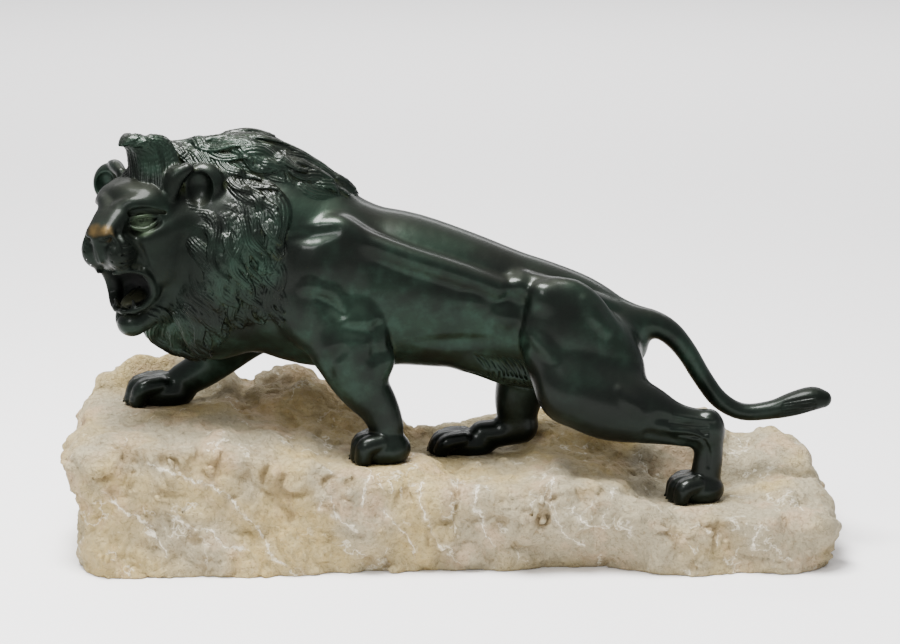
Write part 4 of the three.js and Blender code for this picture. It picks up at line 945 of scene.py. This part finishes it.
def rock_clay():
    room = 4 * ROCK_CELL
    low = [-ROCK_HALF_LENGTH - ROCK_ROOM[0] - room, -ROCK_HALF_WIDTH - ROCK_ROOM[1] - room, -room]
    high = [-v for v in low[:2]] + [ROCK_HEIGHT]
    clay = Clay(low, high, ROCK_CELL)
    x, y, z = clay.axes([0, 0, 0], clay.size, np.float64)
    bulge = 0
    for size, rise, proud, shift in SIDE_LUMPS:
        bulge = bulge + proud * lumps(x / size + shift, y / size, z / rise)
    ends = rows_at(ROCK_ENDS, z)
    foot = mix(-rows_at(ROCK_FOOT, x)[1], ROCK_HALF_WIDTH, ease(z / ROCK_FOOT_HEIGHT))
    qx = np.maximum(ends[1] - x, x - ends[2]) + ROCK_CORNER
    qy = np.maximum(-y - foot, y - ROCK_HALF_WIDTH) + ROCK_CORNER
    corner = np.hypot(np.maximum(qx, 0), np.maximum(qy, 0)) + np.minimum(np.maximum(qx, qy), 0)
    side = corner - ROCK_CORNER - bulge
    top = z - rock_top(x, y)
    h = np.maximum(ROCK_TOP_ROUND - np.abs(side - top), 0) / ROCK_TOP_ROUND
    calm = 1.0
    for spec in PAWS.values():
        calm = np.minimum(calm, ease(seat_reach(spec, x, y) - SEAT_CALM["from"]))
    rough = rock_grain(x, y, z) * mix(SEAT_CALM["rough"], 1, calm)
    rough = rough * mix(ROCK_TOP_ROUGH, 1, ease(-top / ROCK_TOP_ROUND))
    body = np.maximum(side, top) + h * h * ROCK_TOP_ROUND / 4 + rough
    for spec in PAWS.values():
        pocket = seat_reach(spec, x, y, (SEAT_POCKET, SEAT_POCKET)) < 1
        body = np.where(pocket, np.maximum(body, z - spec["seat"]), body)
    clay.field = np.maximum(body, -z).astype(np.float32)
    return clay


class Value:
    """A number in a shader. Arithmetic on it adds Math nodes."""

    def __init__(self, shader, socket):
        self.shader = shader
        self.socket = socket

    def math(self, operation, *others):
        inputs = dict(enumerate((self, *others)))
        return self.shader.value("ShaderNodeMath", {"operation": operation}, inputs)

    def __add__(self, other):
        return self.math("ADD", other)

    def __mul__(self, other):
        return self.math("MULTIPLY", other)

    def __sub__(self, other):
        return self.math("SUBTRACT", other)

    def __rsub__(self, other):
        return self * -1 + other

    __radd__ = __add__
    __rmul__ = __mul__

    def span(self, low, high):
        """Smoothly 0 to 1 between two values."""
        settings = {"interpolation_type": "SMOOTHSTEP"}
        inputs = {"Value": self, "From Min": low, "From Max": high}
        return self.shader.value("ShaderNodeMapRange", settings, inputs)


class Shader:
    """A material and its node tree, with a place on the surface in millimetres."""

    def __init__(self, name):
        self.material = bpy.data.materials.new(name)
        self.material.use_nodes = True
        self.tree = self.material.node_tree
        self.tree.nodes.clear()
        place = self.add("ShaderNodeTexCoord").outputs["Object"]
        larger = self.add("ShaderNodeVectorMath", {"operation": "SCALE"}, {0: place, "Scale": 1 / MM})
        self.place = larger.outputs[0]

    def add(self, kind, settings=None, inputs=None):
        """A node: its kind, its settings, and the values or links of its sockets."""
        node = self.tree.nodes.new(kind)
        for name, value in (settings or {}).items():
            setattr(node, name, value)
        for name, value in (inputs or {}).items():
            value = getattr(value, "socket", value)
            if isinstance(value, bpy.types.NodeSocket):
                self.tree.links.new(value, node.inputs[name])
            else:
                node.inputs[name].default_value = value
        return node

    def value(self, kind, settings=None, inputs=None, output=0):
        """The number that a node gives at one of its outputs."""
        return Value(self, self.add(kind, settings, inputs).outputs[output])

    def layers(self, colour, rows):
        """A colour with others laid over it, each by an amount."""
        for amount, over in rows:
            node = self.add("ShaderNodeMix", {"data_type": "RGBA"}, {0: amount, 6: colour, 7: over})
            colour = node.outputs[2]
        return colour

    def noise(self, size, detail=3.0, rough=0.55, warp=0.0):
        """Noise from about 0 to 1 whose lumps are a size across."""
        inputs = {
            "Vector": self.place, "Scale": 1 / size, "Detail": detail, "Roughness": rough, "Distortion": warp,
        }
        return self.value("ShaderNodeTexNoise", {"normalize": True}, inputs)

    def attribute(self, name):
        return self.value("ShaderNodeAttribute", {"attribute_name": name}, output="Fac")

    def facing(self):
        """How far the surface faces up, from -1 to 1."""
        normal = self.add("ShaderNodeNewGeometry").outputs["Normal"]
        return self.value("ShaderNodeSeparateXYZ", inputs={0: normal}, output=2)

    def height(self):
        """Millimetres above the table."""
        return self.value("ShaderNodeSeparateXYZ", inputs={0: self.place}, output=2)

    def measure(self, operation, other):
        """A number from the place and another vector."""
        inputs = {0: self.place, 1: other}
        return self.value("ShaderNodeVectorMath", {"operation": operation}, inputs, "Value")

    def near(self, spot, inner, outer):
        """1 within a distance of a spot in millimetres, and 0 past another."""
        return 1 - self.measure("DISTANCE", spot).span(inner, outer)

    def finish(self, colour, height, lift, metallic, roughness, coat=0.0, **fixed):
        """Ends the material in one shader, with a height as bump, times a lift in millimetres."""
        bump = self.add("ShaderNodeBump", {}, {"Height": height, "Distance": MM * lift, "Strength": 1.0})
        inputs = {"Base Color": colour, "Metallic": metallic, "Roughness": roughness, "Coat Weight": coat,
                  "Normal": bump.outputs[0], **fixed}
        shader = self.add("ShaderNodeBsdfPrincipled", {}, inputs)
        self.add("ShaderNodeOutputMaterial", {}, {"Surface": shader.outputs[0]})
        return self.material


def bronze_material(head):
    s = Shader("patinated_bronze")
    hollow = s.attribute("hollow")
    up = s.facing()
    cloud = s.noise(60, 3)
    mottle = s.noise(13, 4, 0.6)
    fine = s.noise(2.0, 3, 0.6)
    deep = hollow.span(0.3, 0.85)
    teal = (1 - up.span(-0.2, 0.6)) * mottle.span(0.4, 0.75) * cloud.span(0.38, 0.62)
    spots = {name: s.near(head.point(at), *reach) for name, (at, *reach) in FACE_SPOTS.items()}
    # Painted shade: darkens the inside of the mouth, less where its floor faces up
    mouth_shade = spots["mouth_shade"] * (1 - up.span(0.1, 0.7) * 0.8)
    nose = (spots["nose_tip"] + spots["nose_side"]) * up.span(0.0, 0.7) * mottle.span(0.2, 0.6)
    colour = s.layers(DARK_BRONZE, [
        (cloud.span(0.35, 0.7), GREEN_BRONZE),
        (teal * 0.8, TEAL_PATINA),
        (deep * (0.3 + mottle * 0.5), OLIVE_PATINA),
        # Painted sheen: brown-grey on surfaces that face up, for the broad reflection of the overhead light
        (up.span(0.4, 0.95) * (0.25 + fine * 0.4), BROWN_SHEEN_BRONZE),
        # Painted shade: darker over the lower face, whose down-facing cheeks would otherwise catch the bright
        # floor
        (spots["face"] * 0.8, DARK_BRONZE),
        # Painted shade: darker towards the feet, whose surfaces would otherwise catch the bright floor
        ((1 - s.height().span(*FOOT_SHADE_HEIGHTS)) * 0.7, DARK_BRONZE),
        (spots["eye"] * (0.4 + mottle * 0.5), EYE_PATINA),
        (mouth_shade, MOUTH_SHADE),
        # Painted light: a lighter olive where the tongue faces up, for light that hardly reaches inside the
        # mouth; partly the tongue's own tone
        (spots["tongue"] * up.span(-0.1, 0.5), TONGUE_OLIVE_AND_LIGHT),
        (nose, RUBBED_BRONZE),
    ])
    dull = spots["head"] * 0.65 + s.near(*TAIL_TUFT) * 0.6
    rough = 0.3 + mottle * 0.14 + fine * 0.06 + up.span(0.3, 1.0) * 0.08
    rough = rough + deep * 0.3 + teal * 0.15 + mouth_shade * 0.3 + dull * 0.14
    metal = 0.75 - teal * 0.4 - deep * 0.35 - mouth_shade * 0.4
    height = fine * 0.35 + mottle * 0.6 + s.noise(26, 2, 0.5) * 1.5
    coat = (0.04 + up.span(-0.3, 0.6) * 0.26) * (1 - dull)
    fixed = {"Coat Roughness": 0.18, "Specular IOR Level": 0.2}
    return s.finish(colour, height, 0.35, metal, rough, coat, **fixed)


def vein_mask(s, mottle):
    """White veins: sheets through the stone that start and end near given points of its front."""
    wander = (s.noise(34, 2, 0.5) - 0.5) * 24 + (s.noise(6, 4, 0.65) - 0.5) * 10
    thin = 0.55 + s.noise(9, 3, 0.6).span(0.38, 0.62) * 2.2
    mask = 0
    for x0, z0, x1, z1, width in VEINS:
        long = math.hypot(x1 - x0, z1 - z0)
        across = [(z1 - z0) / long, VEIN_DEPTH_LEAN, (x0 - x1) / long]
        middle = [(x0 + x1) / 2, -ROCK_HALF_WIDTH, (z0 + z1) / 2]
        away = s.measure("DOT_PRODUCT", across) - sum(a * m for a, m in zip(across, middle)) + wander
        away = away.math("ABSOLUTE")
        line = (1 - (away * thin).span(width * 0.1, width * 0.8)) * 0.8
        line = line + (1 - away.span(0, width * VEIN_SPREAD)) * 0.3
        mask = line * s.near(middle, long * 0.42, long * 0.62) + mask
    thread = (s.noise(60, 5, 0.62) - 0.5).math("ABSOLUTE")
    thread = (1 - thread.span(0.003, 0.016)) * s.noise(26, 2, 0.5).span(0.5, 0.6) * 0.5
    return mask.span(0.0, 1.2) * mottle.span(0.3, 0.6) + thread


def stone_material():
    s = Shader("rough_limestone")
    hollow = s.attribute("hollow")
    up = s.facing()
    patches = s.noise(110, 3, 0.55)
    stain = s.noise(46, 4, 0.62)
    mottle = s.noise(10, 5, 0.65)
    crumb = s.noise(4.5, 4, 0.7, warp=0.5)
    pits = s.noise(3.2, 3, 0.6, warp=0.8)
    grain = s.noise(1.4, 3, 0.7)
    colour = s.layers(CREAM_STONE, [
        (patches.span(0.42, 0.6), GREY_STONE),
        (stain.span(0.5, 0.68) * 0.5, PINK_STONE),
        ((1 - patches.span(0.36, 0.52)) * mottle.span(0.42, 0.62) * 0.7, OCHRE_STONE),
        (mottle.span(0.52, 0.72) * 0.3 + crumb.span(0.52, 0.7) * 0.3, BROWN_STONE),
        ((1 - crumb.span(0.3, 0.46)) * 0.3, PALE_STONE),
        (vein_mask(s, mottle) * 0.85, WHITE_VEIN),
        # Painted shade: brown in the pits that the bump sinks
        ((1 - pits.span(0.3, 0.46)) * 0.45, BROWN_STONE),
        # Painted shade: brown in the hollows of the rock
        (hollow.span(0.1, 0.6) * 0.6, BROWN_STONE),
        # Painted shadow: brown under the lion's chest at the back of the rock, broken up by mottle
        (s.near(*ROCK_SHADOW_UNDER_LION) * mottle.span(0.3, 0.6) * 0.6, BROWN_STONE),
    ])
    height = mottle * 1.3 + crumb * 0.9 + pits.span(0.3, 0.55) * 0.6 + grain * 0.3
    rough = 0.74 + grain * 0.2 - up.span(0.6, 1.0) * 0.08
    return s.finish(colour, height, 1.2, 0.0, rough)


def finish_surface(piece, clay, reach):
    """Takes the shading normals from the clay, and stores how deep each corner lies, from 0 to 1."""
    co = np.empty(3 * len(piece.data.vertices), np.float32)
    piece.data.vertices.foreach_get("co", co)
    p = co.reshape(-1, 3) / MM
    piece.data.normals_split_custom_set_from_vertices(clay.slope(p, clay.cell))
    normal = clay.slope(p, 2 * clay.cell)
    open_air = np.mean([clay.at(p + normal * r) / r for r in (reach, 2 * reach)], axis=0)
    layer = piece.data.attributes.new("hollow", "FLOAT", "POINT")
    layer.data.foreach_set("value", np.clip(1 - open_air, 0, 1).astype(np.float32))


def dress(name, part, clay, reach, node, material):
    piece = part.mesh(name, PIECE_TRIANGLES)
    finish_surface(piece, clay, reach)
    piece.data.materials.clear()
    piece.data.materials.append(material)
    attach(piece, "root")
    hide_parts(node)


def soft_light(name, spot, aim, size, power):
    light = bpy.data.lights.new(name, "AREA")
    light.shape = "RECTANGLE"
    light.size, light.size_y = size
    light.energy = power
    lamp = bpy.data.objects.new(name, light)
    lamp.location = spot
    lamp.rotation_euler = (Vector(aim) - Vector(spot)).to_track_quat("-Z", "Y").to_euler()
    bpy.context.scene.collection.objects.link(lamp)


def studio():
    camera = bpy.data.objects.new("camera", bpy.data.cameras.new("camera"))
    camera.data.lens = CAMERA_LENS
    rise = math.radians(CAMERA_RISE)
    camera.location = CAMERA_AIM + CAMERA_DISTANCE * Vector((0, -math.cos(rise), math.sin(rise)))
    camera.rotation_euler = (math.pi / 2 - rise, 0, 0)
    bpy.context.scene.collection.objects.link(camera)
    bpy.context.scene.camera = camera

    bpy.ops.mesh.primitive_plane_add(size=FLOOR_SIZE, location=(0, 0, 0))
    floor = bpy.context.object
    floor.name = "floor"
    paper = bpy.data.materials.new("pale_paper")
    paper.use_nodes = True
    for name, value in PAPER.items():
        paper.node_tree.nodes["Principled BSDF"].inputs[name].default_value = value
    floor.data.materials.append(paper)

    world = bpy.data.worlds.new("studio")
    world.use_nodes = True
    for name, value in SKY.items():
        world.node_tree.nodes["Background"].inputs[name].default_value = value
    bpy.context.scene.world = world
    for name, light in LIGHTS.items():
        soft_light(name, *light)


def main():
    studio()
    lion = lion_clay()
    bronze = bronze_material(Place(**HEAD))
    for name, (start, end) in LION_LENGTHS.items():
        dress(name, lion.between(start, end), lion, HOLLOW_REACH["lion"], "lion", bronze)
    rock = rock_clay()
    dress("rock_stone", rock, rock, HOLLOW_REACH["rock"], "rock_base", stone_material())


main()
